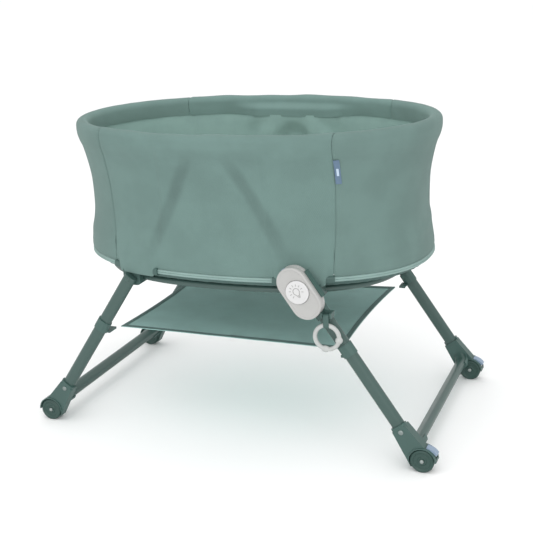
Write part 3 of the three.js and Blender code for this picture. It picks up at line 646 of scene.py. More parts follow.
def dress(piece: bpy.types.Object, finish: Finish, slot: str, body: str, *nodes: str) -> bpy.types.Object:
    """Gives a finished piece its material and its body, and hides the CAD nodes that it stands for.

    Args:
        piece: the piece.
        finish: its finish.
        slot: not used.
        body: the CAD body that it moves with.
        *nodes: the CAD nodes that it replaces.

    Returns:
        The same piece.
    """
    piece.data.materials.clear()
    piece.data.materials.append(finish.made())
    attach(piece, body)
    if nodes:
        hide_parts(*nodes)
    LOG.info("%s: %d faces", piece.name, len(piece.data.polygons))
    return piece


def refinish(node: str, finish: Finish) -> None:
    """Gives a CAD node that stays its material."""
    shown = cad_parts[node]
    shown.data.materials.clear()
    shown.data.materials.append(finish.made())


# ---------------------------------------------------------------- outlines and paths

@dataclass(frozen=True)
class Oval:
    """A level superellipse, centred on the object's upright axis."""

    a: float
    b: float
    n: float

    def depth(self, x: float) -> float:
        """How far along Y the oval is, at a place along X."""
        return self.b * (1 - min(1.0, abs(x / self.a)) ** self.n) ** (1 / self.n)

    def point(self, turn: float) -> tuple[float, float]:
        """The point at an angle in radians, from +X towards +Y."""
        c, s = math.cos(turn), math.sin(turn)
        return (self.a * math.copysign(abs(c) ** (2 / self.n), c), self.b * math.copysign(abs(s) ** (2 / self.n), s))

    def turn_at(self, x: float) -> float:
        """The angle of the point at a place along X, on the side of +Y."""
        return math.acos(min(1.0, x / self.a) ** (self.n / 2))

    def normal(self, x: float, y: float) -> tuple[float, float]:
        """The outward direction at a point of the oval."""
        nx = math.copysign((abs(x) / self.a) ** (self.n - 1) / self.a, x)
        ny = math.copysign((abs(y) / self.b) ** (self.n - 1) / self.b, y)
        size = math.hypot(nx, ny)
        return nx / size, ny / size


def mix(first: float, last: float, share: float) -> float:
    """The value at a share of the way from one number to another."""
    return first + (last - first) * share


def eased(low: float, high: float, value: float) -> float:
    """Rises smoothly from 0 at the first value to 1 at the second, which may be the lower one."""
    share = min(1.0, max(0.0, (value - low) / (high - low)))
    return share * share * (3 - 2 * share)


def crease(distance: float, sharp: float, long: float) -> float:
    """A fold across a line: it rises to 1 at the line over a short way, and falls off slowly after it."""
    return math.exp(-(distance / (sharp if distance < 0 else long)) ** 2)


def dent(distance: float, half: float) -> float:
    """1 on a line, and almost 0 beyond twice the given distance from it."""
    return math.exp(-(distance / half) ** 2)


def hump(distance: float, half: float, fade: float) -> float:
    """1 within half a width of a line, and smoothly down to 0 over the fade beyond it."""
    return 1 - eased(half, half + fade, abs(distance))


@dataclass
class Profile:
    """A smooth curve through (half length, height) points in millimetres, taken by share of its length."""

    points: Sequence[tuple[float, float]]
    fine: int = 12

    def __post_init__(self) -> None:
        """Draws the curve finely and measures it."""
        raw = [self.points[0], *self.points, self.points[-1]]
        drawn = []
        for p0, p1, p2, p3 in zip(raw, raw[1:], raw[2:], raw[3:]):
            for i in range(self.fine):
                t = i / self.fine
                drawn.append([0.5 * (2 * b + (c - a) * t + (2 * a - 5 * b + 4 * c - d) * t * t
                                     + (3 * b - a - 3 * c + d) * t ** 3) for a, b, c, d in zip(p0, p1, p2, p3)])
        self.drawn = np.array([*drawn, self.points[-1]]) * MM
        steps = np.linalg.norm(np.diff(self.drawn, axis=0), axis=1)
        self.reach = np.concatenate([[0], np.cumsum(steps)])

    def at(self, share: float) -> tuple[float, float]:
        """The half length and the height, in metres, at a share of the curve's length."""
        want = share * self.reach[-1]
        return tuple(float(np.interp(want, self.reach, self.drawn[:, i])) for i in (0, 1))

    def out(self, share: float) -> tuple[float, float]:
        """The outward direction there, to the right of the way along the curve."""
        (a0, z0), (a1, z1) = self.at(max(0.0, share - 0.004)), self.at(min(1.0, share + 0.004))
        size = math.hypot(a1 - a0, z1 - z0)
        return (z1 - z0) / size, (a0 - a1) / size


Station = tuple[Vector, Vector, Vector]


def swept(name: str, stations: Sequence[Station], outline: Sequence[tuple[float, float]],
          ring: bool = False, size: tuple[float, float] = (1, 1)) -> bpy.types.Object:
    """Carries an outline along stations, into a closed tube or a closed ring.

    Args:
        name: the piece's name.
        stations: the centre, the outline's first axis and its second axis, at each place.
        outline: the outline's points, round the centre.
        ring: whether the last station comes back to the first.
        size: the distance round the outline and along the path, in metres, for the UV map.

    Returns:
        The closed piece.
    """
    path = [*stations, stations[0]] if ring else list(stations)
    count = len(outline)

    def place(u: float, v: float) -> Vector:
        at, first, second = path[round(v * (len(path) - 1))]
        p = outline[round(u * count) % count]
        return at + first * p[0] + second * p[1]
    piece = outward(formed(name, count, len(path) - 1, place, size))
    if not ring:
        close_ends(piece)
        outward(piece)
    return smooth(piece, 50)


# ---------------------------------------------------------------- the basket

@dataclass(frozen=True)
class Fold:
    """A crease down a long side that leans with height, sharp on one side and soft on the other."""

    x: float
    z: float
    lean: float
    deep: float
    sharp: float
    soft: float
    facing: int

    def at(self, x: float, z: float) -> float:
        """How far the crease lifts the cloth at a place, in metres. Its soft side is the one that it faces."""
        return self.deep * crease(self.facing * (x - self.x - self.lean * (z - self.z)), self.sharp, self.soft)


UPRIGHT = Vector((0, 0, 1))
RIM_A, RIM_Z, RIM_R = 402, 669.6, 14
RIM_ARC = [(RIM_A + RIM_R * math.cos(math.radians(t)), RIM_Z + RIM_R * math.sin(math.radians(t)))
           for t in range(0, 181, 15)]
LEFT_FOLD = Fold(-108 * MM, 560 * MM, 0.1, 3.0 * MM, 4 * MM, 22 * MM, 1)
RIGHT_FOLD = Fold(120 * MM, 560 * MM, -0.03, 2.8 * MM, 4 * MM, 20 * MM, -1)
STRUT_FOLD = Fold(150 * MM, 450 * MM, -0.65, 2.2 * MM, 6 * MM, 22 * MM, -1)


@dataclass
class Basket:
    """The fabric basket: cover panels over two oval rings, a lining, a quilted mattress and a board."""

    body: str = "basket_and_stand"
    cover: Profile = field(default_factory=lambda: Profile([
        (397.4, 390.5), (398.6, 396), (398.7, 406), (394, 440), (389, 475), (388.3, 505), (389.5, 540),
        (392, 565), (398.4, 598), (405, 624), (411.5, 640), (415.4, 655), *RIM_ARC, (388, 655), (389.5, 642)]))
    inner: Profile = field(default_factory=lambda: Profile([
        (389.5, 400), (386, 440), (383, 475), (383, 505), (384, 540), (386, 565), (387.5, 598), (389, 620),
        (390.8, 636), (391.8, 650)]))
    low: float = 384.6 * MM
    high: float = 669.6 * MM
    seam_low: float = 250 * MM
    seam_high: float = 258 * MM
    cloth: float = 1.5 * MM
    ring: Oval = Oval(394.7 * MM, 261.1 * MM, 2.25)
    ring_r: float = 5.5 * MM
    strut_foot: tuple[float, float] = (168 * MM, 398 * MM)
    strut_top: tuple[float, float] = (45 * MM, 634 * MM)
    block_half: float = 76 * MM
    block_fade: float = 110 * MM
    band_at_block: float = 239.2 * MM
    lining_at_block: float = 240.4 * MM
    lining_at_strut: tuple[float, float] = (222.2 * MM, 238.2 * MM)
    lining_strut_z: tuple[float, float] = (403 * MM, 634 * MM)
    lobe_z: tuple[float, float] = (388 * MM, 430 * MM)
    lobe_out: float = 5.6 * MM
    lobe_drop: float = 17.5 * MM
    skirt_z: tuple[float, float] = (368.5 * MM, 384 * MM)
    skirt_in: float = 4 * MM
    skirt_tuck: float = 9 * MM
    steps: tuple[int, int] = (120, 104)

    def oval(self, a: float, z: float) -> Oval:
        """The cover's outline where its half length is a, at a height."""
        share = min(1.0, max(0.0, (z - self.low) / (self.high - self.low)))
        return Oval(a, a - mix(133.6, 127.6, share) * MM, mix(2.25, 2.1, share))

    def seam(self, z: float) -> float:
        """How far along X the seams are, at a height."""
        return mix(self.seam_low, self.seam_high, (z - self.low) / (self.high - self.low))

    def from_strut(self, x: float, z: float) -> float:
        """The distance from a point to the middle line of the nearer strut, seen from the side."""
        (x0, z0), (x1, z1) = self.strut_foot, self.strut_top
        share = min(1.0, max(0.0, (z - z0) / (z1 - z0)))
        return abs(abs(x) - mix(x0, x1, share)) * math.cos(math.atan2(x0 - x1, z1 - z0))

    def puckers(self, x: float, y: float, z: float) -> float:
        """How far the stretched cloth stands out or in, in metres."""
        slow = noise.noise(Vector((x * 7, y * 7, z * 3.5)))
        fine = noise.noise(Vector((x * 26 + 5, y * 26, z * 9)))
        return (1.3 * slow + 0.45 * fine) * MM

    def side_relief(self, x: float, z: float) -> float:
        """The folds of a long side, in metres: where it's drawn over the struts, and loose places on the rim."""
        folds = LEFT_FOLD.at(x, z) + RIGHT_FOLD.at(x, z) + STRUT_FOLD.at(x, z) * eased(0.52, 0.46, z)
        folds *= eased(0.425, 0.47, z) * (1 - eased(0.655, 0.668, z))
        waves = 1.2 * MM * math.sin(x * 41) * math.sin(x * 17 + 1)
        return folds + waves * eased(0.66, 0.675, z)

    def sewn(self, from_seam: float, v: float) -> float:
        """How far the seam, and the row of stitches above the foot, pull the cloth in, in metres."""
        return 1.0 * MM * dent(from_seam, 2.2 * MM) + 0.7 * MM * dent(v - 0.035, 0.006)

    def over_block(self, x: float) -> float:
        """1 over the block where the struts meet, and smoothly down to 0 beside it."""
        return hump(x, self.block_half, self.block_fade)

    def lobe(self, x: float) -> float:
        """Where the cover is longer, over the bars of the leg heads."""
        return hump(abs(x) - 0.187, 0.044, 0.012)

    def place_side(self, u: float, v: float) -> Vector:
        """A point of the front panel."""
        a, z = self.cover.at(v)
        na, nz = self.cover.out(v)
        seam = self.seam(z) - 0.3 * MM
        x = mix(-seam, seam, u)
        oval = self.oval(a, z)
        y = oval.depth(x)
        nx, ny = oval.normal(x, y)
        foot, lobe_top = self.lobe_z
        outside = v < 0.5
        low = max(0.0, 1 - (z - foot) / (lobe_top - foot)) * outside
        lobe = self.lobe(x)
        d = self.side_relief(x, z) + self.puckers(x, -y, z) - self.sewn(seam - abs(x), v)
        d += self.lobe_out * lobe * min(1.0, 1.6 * low)
        drop = self.lobe_drop * lobe * low ** 1.5
        inside = v > 0.8
        over = self.over_block(x) * inside
        y -= over * eased(669 * MM, 654 * MM, z) * max(0.0, y - self.band_at_block)
        drop += over * eased(652 * MM, 642 * MM, z) * 6 * MM
        return Vector((x + nx * d * na, -(y + ny * d * na), z + d * nz - drop))

    def place_end(self, u: float, v: float) -> Vector:
        """A point of the right end panel."""
        a, z = self.cover.at(v)
        na, nz = self.cover.out(v)
        oval = self.oval(a, z)
        last = oval.turn_at(self.seam(z) + 0.3 * MM)
        turn = mix(-last, last, u)
        x, y = oval.point(turn)
        nx, ny = oval.normal(x, y)
        d = self.puckers(x, y, z) - self.sewn(x - self.seam(z), v)
        d += 1.4 * MM * dent(z - 0.452 - 0.02 * math.sin(y * 9), 0.012)
        return Vector((x + nx * d * na, y + ny * d * na, z + d * nz))

    def shade_struts(self, panel: bpy.types.Object, struts: bool) -> None:
        """Paints into the mesh, at each point, the shade of what stands behind the cloth, and painted light on the
        band inside the rim.

        Args:
            panel: the cover panel. Its band inside the rim is painted paler, as painted light against the shade
                inside the basket.
            struts: whether two struts, with a block on top of them, are behind the panel.
        """
        shade = panel.data.attributes.new("behind", "FLOAT", "POINT")
        strut_half, strut_blur = 5 * MM, 15 * MM
        # the first paints light on the band inside the rim, the others paint the shade of the struts and the block
        paler, strut_shade, block_shade = -0.45, 0.6, 0.12
        aside = 8 * MM  # seen from the front right, what is behind the cloth shows a little further right
        for vert, value in zip(panel.data.vertices, shade.data):
            x, z = vert.co.x - aside, vert.co.z
            oval = self.oval(RIM_A * MM, z)
            within = (abs(vert.co.x) / oval.a) ** oval.n + (abs(vert.co.y) / oval.b) ** oval.n
            if z > 0.63 and within < 1:
                value.value = paler * eased(1.0, 0.96, within)
                continue
            if not struts:
                continue
            band = hump(self.from_strut(x, z), strut_half, strut_blur)
            band *= eased(0.40, 0.50, z) * (1 - eased(0.60, 0.655, z))
            block = hump(x, 0.06, 0.04) * hump(z - 0.646, 0.003, 0.012)
            value.value = strut_shade * band + block_shade * block

    def panels(self) -> None:
        """Builds the four cover panels."""
        around, along = self.steps
        tall = float(self.cover.reach[-1])
        front = formed("front_cover_panel", around, along, self.place_side, (0.53, tall))
        modify(front, "SOLIDIFY", thickness=self.cloth, offset=-1)
        smooth(outward(front), 60)
        back = mirrored(front, "back_cover_panel", y=-1)
        for panel in (front, back):
            self.shade_struts(panel, True)
        dress(front, SIDE_MESH, "mesh_fabric", self.body, "fabric_wall", "rim_sleeve")
        dress(back, SIDE_MESH, "mesh_fabric", self.body)
        right = formed("right_end_cover_panel", around, along, self.place_end, (0.56, tall))
        modify(right, "SOLIDIFY", thickness=self.cloth, offset=-1)
        smooth(outward(right), 60)
        left = mirrored(right, "left_end_cover_panel", x=-1)
        for panel in (right, left):
            self.shade_struts(panel, False)
            dress(panel, END_MESH, "mesh_fabric", self.body)

    def seams(self) -> None:
        """Sews a row of stitches down each side of each seam."""
        stitch = 3.4 * MM
        tall = float(self.cover.reach[-1])
        count = int(tall * 0.93 / (stitch * 1.35))
        clear_selection()
        bpy.ops.mesh.primitive_cylinder_add(vertices=8, radius=0.45 * MM, depth=stitch)
        one = named("stitch")
        soften(one, 0.2 * MM, 2, 30)
        for corner, sx, sy in CORNERS:
            row = copy_of(one, f"{corner}_seam_stitches")
            sewing = bmesh.new()
            for side in (-1, 1):
                for i in range(count):
                    v = 0.04 + 0.92 * i / count
                    a, z = self.cover.at(v)
                    na, nz = self.cover.out(v)
                    x = self.seam(z) + side * 3.6 * MM
                    oval = self.oval(a, z)
                    y = oval.depth(x)
                    nx, ny = oval.normal(x, y)
                    out = Vector((sx * nx * na, sy * ny * na, nz)).normalized()
                    lift = self.puckers(sx * x, sy * y, z) - 0.35 * MM
                    at = Vector((sx * x, sy * y, z)) + out * lift
                    a1, z1 = self.cover.at(min(1.0, v + 0.004))
                    way = Vector((0, sy * (self.oval(a1, z1).depth(x) - y), z1 - z)).normalized()
                    across = out.cross(way).normalized()
                    turned = Matrix((across, way.cross(across), way)).transposed().to_4x4()
                    spot = bmesh.new()
                    spot.from_mesh(one.data)
                    spot.transform(Matrix.Translation(at) @ turned)
                    spot.to_mesh(row.data)
                    spot.free()
                    sewing.from_mesh(row.data)
            sewing.to_mesh(row.data)
            sewing.free()
            dress(row, SEWING, "mesh_fabric", self.body)
        bpy.data.objects.remove(one)

    def place_lining(self, u: float, v: float) -> Vector:
        """A point of the lining, which stands off the struts and the blocks on top of them."""
        a, z = self.inner.at(v)
        oval = self.oval(a, z)
        x, y = oval.point(2 * math.pi * u)
        side = math.copysign(1, y)
        block = self.over_block(x)
        z -= 10 * MM * block * eased(0.85, 1.0, v)
        near = hump(self.from_strut(x, z), 11 * MM, 34 * MM) * (1 - eased(0.64, 0.655, z))
        (z0, z1), (deep0, deep1) = self.lining_strut_z, self.lining_at_strut
        target = mix(deep0, deep1, (z - z0) / (z1 - z0))
        deep = abs(y) - near * max(0.0, abs(y) - target)
        deep -= block * eased(0.59, 0.632, z) * max(0.0, deep - self.lining_at_block)
        d = (1.2 * MM * noise.noise(Vector((x * 8, y * 8, z * 4))) - 0.6 * MM) * (1 - block * eased(0.6, 0.63, z))
        groove = 1.2 * MM * dent(abs(x) - self.seam_low, 3 * MM)
        nx, ny = oval.normal(x, y)
        return Vector((x + nx * (d + groove), side * deep + ny * (d + groove), z))

    def lining(self) -> None:
        """Builds the lining, from the board up to the band inside the rim."""
        piece = formed("basket_lining", 300, 72, self.place_lining, (2.1, 0.25))
        modify(piece, "SOLIDIFY", thickness=1.2 * MM, offset=1)
        smooth(outward(piece), 60)
        dress(piece, LINING, "mesh_fabric", self.body)

    def piping(self) -> None:
        """Builds the cloth-covered ring at the basket's foot, with a sewn channel round its outside."""
        outline = []
        for i in range(48):
            t = 2 * math.pi * i / 48
            from_outside = math.degrees(t if t < math.pi else t - 2 * math.pi)
            r = self.ring_r - 2.3 * MM * dent(from_outside - 2, 13)
            outline.append((r * math.cos(t), r * math.sin(t)))
        stations = self.round_oval(self.ring, self.low, 260)
        piece = swept("basket_ring_piping", stations, outline, True, (0.035, 2.15))
        dress(piece, PIPING, "mesh_fabric", self.body, "basket_ring")

    def skirt(self) -> None:
        """Hangs the gathered edge of the base's cloth, just inside the ring, over the gap above the stand. Its darker
        colour is painted shade of that gap.
        """
        line = Oval(self.ring.a - self.skirt_in, self.ring.b - self.skirt_in, self.ring.n)

        def place(u: float, v: float) -> Vector:
            x, y = line.point(2 * math.pi * u)
            nx, ny = self.ring.normal(x, y)
            gather = (0.9 * math.sin(u * 560) + 0.7 * noise.noise(Vector((x * 60, y * 60, 0)))) * (1 - v) * MM
            d = gather - self.skirt_tuck * (1 - v) ** 2
            return Vector((x + nx * d, y + ny * d, mix(*self.skirt_z, v)))
        piece = formed("base_cloth_gathered_edge", 900, 8, place, (2.1, 0.02))
        modify(piece, "SOLIDIFY", thickness=1.0 * MM, offset=-1)
        smooth(outward(piece), 60)
        dress(piece, GATHERED, "mesh_fabric", self.body)

    @staticmethod
    def round_oval(oval: Oval, z: float, count: int) -> list[Station]:
        """Stations round an oval, evenly in angle, whose first axis points out and whose second points up."""
        stations = []
        for i in range(count):
            x, y = oval.point(2 * math.pi * i / count)
            nx, ny = oval.normal(x, y)
            stations.append((Vector((x, y, z)), Vector((nx, ny, 0)), UPRIGHT))
        return stations

    def label(self) -> None:
        """Sews the small woven label beside the right front seam, with a plain pale mark."""
        wide, low, high, start = 12 * MM, 581 * MM, 631 * MM, 256.5 * MM
        cloth = 0.7 * MM
        reach = self.cover.reach
        below_rim = 130  # the drawn points up the outside, where the height only grows

        def place(u: float, v: float) -> Vector:
            z = mix(low, high, v)
            share = float(np.interp(z, self.cover.drawn[:below_rim, 1], reach[:below_rim])) / float(reach[-1])
            a, _ = self.cover.at(share)
            x = start + wide * u * 0.86
            oval = self.oval(a, z)
            y = oval.depth(x)
            nx, ny = oval.normal(x, y)
            d = (0.5 + 1.9 * math.sin(math.pi * (0.06 + 0.88 * u)) + 0.5 * math.sin(3.1 * v * math.pi) * u) * MM
            return Vector((x + nx * d, -(y + ny * d), z))
        tag = formed("woven_label", 10, 34, place, (wide, high - low))
        modify(tag, "SOLIDIFY", thickness=cloth, offset=1)
        smooth(outward(tag), 50)
        dress(tag, TAG, "label", self.body, "label_tag")
        clear = 0.25 * MM

        def raised(u: float, v: float) -> Vector:
            spot = place(0.3 + 0.4 * u, 0.34 + 0.3 * v)
            nx, ny = self.ring.normal(spot.x, spot.y)
            return spot + Vector((nx, ny, 0)) * (cloth + clear)
        mark = formed("woven_label_mark", 8, 16, raised, (4 * MM, 15 * MM))
        modify(mark, "SOLIDIFY", thickness=0.3 * MM, offset=0)
        soften(outward(mark), 0.1 * MM, 1)
        dress(mark, TAG_MARK, "label", self.body)

    def mattress(self) -> None:
        """Inflates the quilted mattress as a cloth skin, within a few millimetres of its block."""
        least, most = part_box("mattress")
        low, high, wide, deep = least.z, most.z, most.x, most.y
        outline = [Oval(wide - 4 * MM, deep - 4 * MM, 2.25).point(2 * math.pi * i / 140) for i in range(140)]
        piece = plate("quilted_mattress", outline, low, high - 2 * MM)
        modify(piece, "BEVEL", width=8 * MM, segments=3, limit_method="ANGLE", angle_limit=math.radians(40))
        only(piece)
        piece.data.remesh_voxel_size = 6 * MM
        bpy.ops.object.voxel_remesh()
        puff(piece, pressure=4.0, cap=5 * MM, low=low, high=high + 1.5 * MM)
        modify(piece, "SUBSURF", levels=1, render_levels=1)
        smooth(outward(piece), 60)
        dress(piece, COVER, "mattress_cover", self.body, "mattress")

    def build(self) -> None:
        """Builds the whole basket."""
        self.panels()
        self.seams()
        self.lining()
        self.piping()
        self.skirt()
        self.label()
        self.mattress()
        refinish("base_board", BOARD_CLOTH)
        refinish("rim_tube", PAINT)
        for f in ("front", "back"):
            refinish(f"{f}_rim_block", BLACK)
            for side in ("left", "right"):
                refinish(f"{f}_{side}_strut", BLACK)


def puff(piece: bpy.types.Object, pressure: float, cap: float, low: float, high: float) -> None:
    """Inflates a closed skin with Blender's cloth, and keeps each point near its start.

    Args:
        piece: the closed skin.
        pressure: the cloth's inner pressure.
        cap: how far a point may move, in metres.
        low: the lowest height that a point may reach.
        high: the highest height that a point may reach.
    """
    only(piece)
    count = len(piece.data.vertices)
    before = np.zeros(count * 3, np.float32)
    piece.data.vertices.foreach_get("co", before)
    cloth = piece.modifiers.new("cloth", "CLOTH")
    cloth.settings.use_pressure = True
    cloth.settings.uniform_pressure_force = pressure
    cloth.settings.effector_weights.gravity = 0
    cloth.settings.quality = 5
    cloth.point_cache.frame_end = 20
    for step in range(1, 21):
        bpy.context.scene.frame_set(step)
    bpy.ops.object.modifier_apply(modifier=cloth.name)
    bpy.context.scene.frame_set(1)
    after = np.zeros(count * 3, np.float32)
    piece.data.vertices.foreach_get("co", after)
    moved = (after - before).reshape(-1, 3)
    size = np.linalg.norm(moved, axis=1, keepdims=True)
    kept = before.reshape(-1, 3) + moved * np.minimum(1, cap / np.maximum(size, 1e-9))
    kept[:, 2] = np.clip(kept[:, 2], low, high)
    piece.data.vertices.foreach_set("co", kept.astype(np.float32).ravel())
    piece.data.update()


# ---------------------------------------------------------------- the stand and its legs

@dataclass
class Stand:
    """The oval ring under the basket, its four leg heads and their pins."""

    body: str = "basket_and_stand"
    ring: Oval = Oval(338 * MM, 235 * MM, 2.5)
    ring_z: float = 357 * MM
    ring_r: float = 7 * MM
    pin_r: float = 6 * MM

    def tube(self) -> None:
        """Bends the ring's tube."""
        turns = np.linspace(0, 2 * math.pi, 25)[:-1]
        outline = [(self.ring_r * math.cos(t), self.ring_r * math.sin(t)) for t in turns]
        piece = swept("stand_ring_tube", Basket.round_oval(self.ring, self.ring_z, 240), outline, True, (0.044, 1.9))
        dress(piece, PAINT, "painted_tube", self.body, "stand_ring")

    def pins(self) -> None:
        """Turns the domed rivets that the legs fold on."""
        r = self.pin_r
        for side, _ in SIDES:
            for face, sy in FACES:
                node = f"{face}_{side}_leg_pin"
                low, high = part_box(node)
                near, far = sorted((abs(low.y), abs(high.y)))
                domed = [(r * math.sin(t), near + (far - near) * (0.86 + 0.14 * math.cos(t)))
                         for t in np.linspace(0, math.pi / 2, 7)]
                profile = [*domed, (r, far - 2.2 * MM), (0.66 * r, far - 2.4 * MM), (0.66 * r, near), (0, near)]
                piece = spun(f"{node}_rivet", [(a, sy * b) for a, b in profile],
                             Vector(((low.x + high.x) / 2, 0, (low.z + high.z) / 2)), 32)
                dress(outward(piece), PAINT, "steel", self.body, node)

    def build(self) -> None:
        """Builds the stand."""
        self.tube()
        self.pins()
        for side, _ in SIDES:
            for face, _ in FACES:
                rounded(f"{face}_{side}_leg_head", MOULDING, 1.2 * MM)


def rounded(node: str, finish: Finish, width: float, segments: int = 3) -> None:
    """Gives a CAD node that stays its material, and moulded rounds on its sharp edges."""
    refinish(node, finish)
    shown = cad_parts[node]
    bevel = shown.modifiers.new("moulded_rounds", "BEVEL")
    bevel.width = width
    bevel.segments = segments
    bevel.limit_method = "ANGLE"
    bevel.angle_limit = math.radians(32)
    bevel.harden_normals = True


@dataclass
class LegFrame:
    """One folding frame: a flat-oval tube from a hinge down to the foot, across, and up again."""

    side: str
    sx: int
    pivot: tuple[float, float] = (207 * MM, 360 * MM)
    corner: tuple[float, float] = (421 * MM, 47.7 * MM)
    leg_y: float = 245 * MM
    wide: float = 28.5 * MM
    thick: float = 18 * MM
    bend: float = 32 * MM
    past: float = 7.5 * MM
    collar_z: float = 247 * MM

    @property
    def down(self) -> Vector:
        """The direction down a leg."""
        (x0, z0), (x1, z1) = self.pivot, self.corner
        return Vector((self.sx * (x1 - x0), 0, z1 - z0)).normalized()

    @property
    def square(self) -> Vector:
        """The direction square to the frame's plane, upwards and outwards."""
        down = self.down
        return Vector((-down.z * self.sx, 0, down.x * self.sx))

    @property
    def body(self) -> str:
        """The CAD body."""
        return f"{self.side}_legs"

    def stations(self) -> list[Station]:
        """The tube's centre line, whose outline has its width square to the frame's plane."""
        top = Vector((self.sx * self.pivot[0], 0, self.pivot[1]))
        foot = Vector((self.sx * self.corner[0], 0, self.corner[1]))
        length = (foot - top).length
        flat = []
        for at in (-self.past, 0.12, 0.25, length - self.bend):
            flat.append((at, -self.leg_y, 0.0))
        for i in range(1, 13):
            t = math.radians(90 * i / 12)
            flat.append((length - self.bend + self.bend * math.sin(t),
                         -self.leg_y + self.bend * (1 - math.cos(t)), t))
        flat += [(at, -y, math.pi - t) for at, y, t in reversed(flat)]
        return [(top + self.down * at + Vector((0, y, 0)), self.square,
                 Vector((0, math.cos(t), 0)) - self.down * math.sin(t)) for at, y, t in flat]

    def tube(self) -> None:
        """Bends the frame's tube."""
        piece = swept(f"{self.side}_leg_frame_tube", self.stations(), stadium(self.wide, self.thick, 14),
                      size=(0.08, 1.2))
        soften(piece, 0.6 * MM, 2, 60)
        dress(piece, PAINT, "painted_tube", self.body, f"{self.side}_leg_frame")

    def rivets(self) -> None:
        """Turns the flat-topped rivets that hold the foot castings."""
        for face, sy in FACES:
            node = f"{face}_{self.side}_foot_rivet"
            low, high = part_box(node)
            near, far = sorted((abs(low.y), abs(high.y)))
            r = (high.z - low.z) / 2
            profile = [(0, far), (0.45 * r, far), (0.8 * r, far - 0.25 * MM), (r, far - 0.9 * MM),
                       (r, far - 1.7 * MM), (0.6 * r, far - 1.8 * MM), (0.6 * r, near), (0, near)]
            centre = Vector(((low.x + high.x) / 2, 0, (low.z + high.z) / 2))
            piece = spun(f"{node}_turned", [(a, sy * b) for a, b in profile], centre, 32)
            dress(outward(piece), ZINC, "steel", self.body, node)

    def build(self) -> None:
        """Builds the frame."""
        self.tube()
        self.rivets()
        for face, _ in FACES:
            rounded(f"{face}_{self.side}_foot_casting", MOULDING, 1.1 * MM)
            rounded(f"{face}_{self.side}_shelf_collar", MOULDING, 0.8 * MM)


@dataclass
class WheelSet:
    """Twin-disc wheels on their axles."""

    r: float = 25 * MM
    half: float = 13.8 * MM
    inner: float = 5.3 * MM
    hub: float = 6 * MM

    def profile(self) -> list[tuple[float, float]]:
        """Half of a wheel's section, from the axis out and in again, to one side."""
        r, half = self.r, self.half
        return [(0, half - 1.6 * MM), (6.2 * MM, half - 1.6 * MM), (7 * MM, half - 1.2 * MM),
                (8.4 * MM, half - 1.2 * MM), (9.2 * MM, half - 1.9 * MM), (10 * MM, half - 2.8 * MM),
                (17.4 * MM, half - 2.2 * MM), (18.4 * MM, half - 1.2 * MM), (19.4 * MM, half - 0.3 * MM),
                (20.6 * MM, half), (22 * MM, half), (22.5 * MM, half - 0.4 * MM), (22.9 * MM, half - 0.1 * MM),
                (24 * MM, half - 0.7 * MM), (24.8 * MM, half - 1.9 * MM), (r, half - 3.4 * MM),
                (r, self.inner + 1.1 * MM), (24.3 * MM, self.inner + 0.2 * MM), (23.4 * MM, self.inner),
                (self.hub, self.inner)]

    def build(self) -> None:
        """Builds the four wheels and the ends of their axles."""
        for side, _ in SIDES:
            for face, _ in FACES:
                name = f"{face}_{side}_wheel"
                low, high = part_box(name)
                centre = (low + high) / 2
                half = self.profile()
                section = [*half, *[(r, -y) for r, y in reversed(half)]]
                wheel = outward(spun(f"{name}_discs", section, centre, 72))
                dress(wheel, WHEEL_FACE, "wheel_green", f"{name}_set", name)
                axle = f"{face}_{side}_axle"
                near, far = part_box(axle)
                end = (far.y - near.y) / 2
                cap = [(0, end), (2.2 * MM, end), (3.5 * MM, end - 0.3 * MM), (4.1 * MM, end - 1 * MM),
                       (4.1 * MM, self.half - 1.7 * MM), (2.4 * MM, self.half - 1.9 * MM)]
                bar = outward(spun(f"{name}_axle_pin", [*cap, *[(r, -y) for r, y in reversed(cap)]], centre, 32))
                dress(bar, AXLE_CAP, "steel", f"{name}_set", axle)


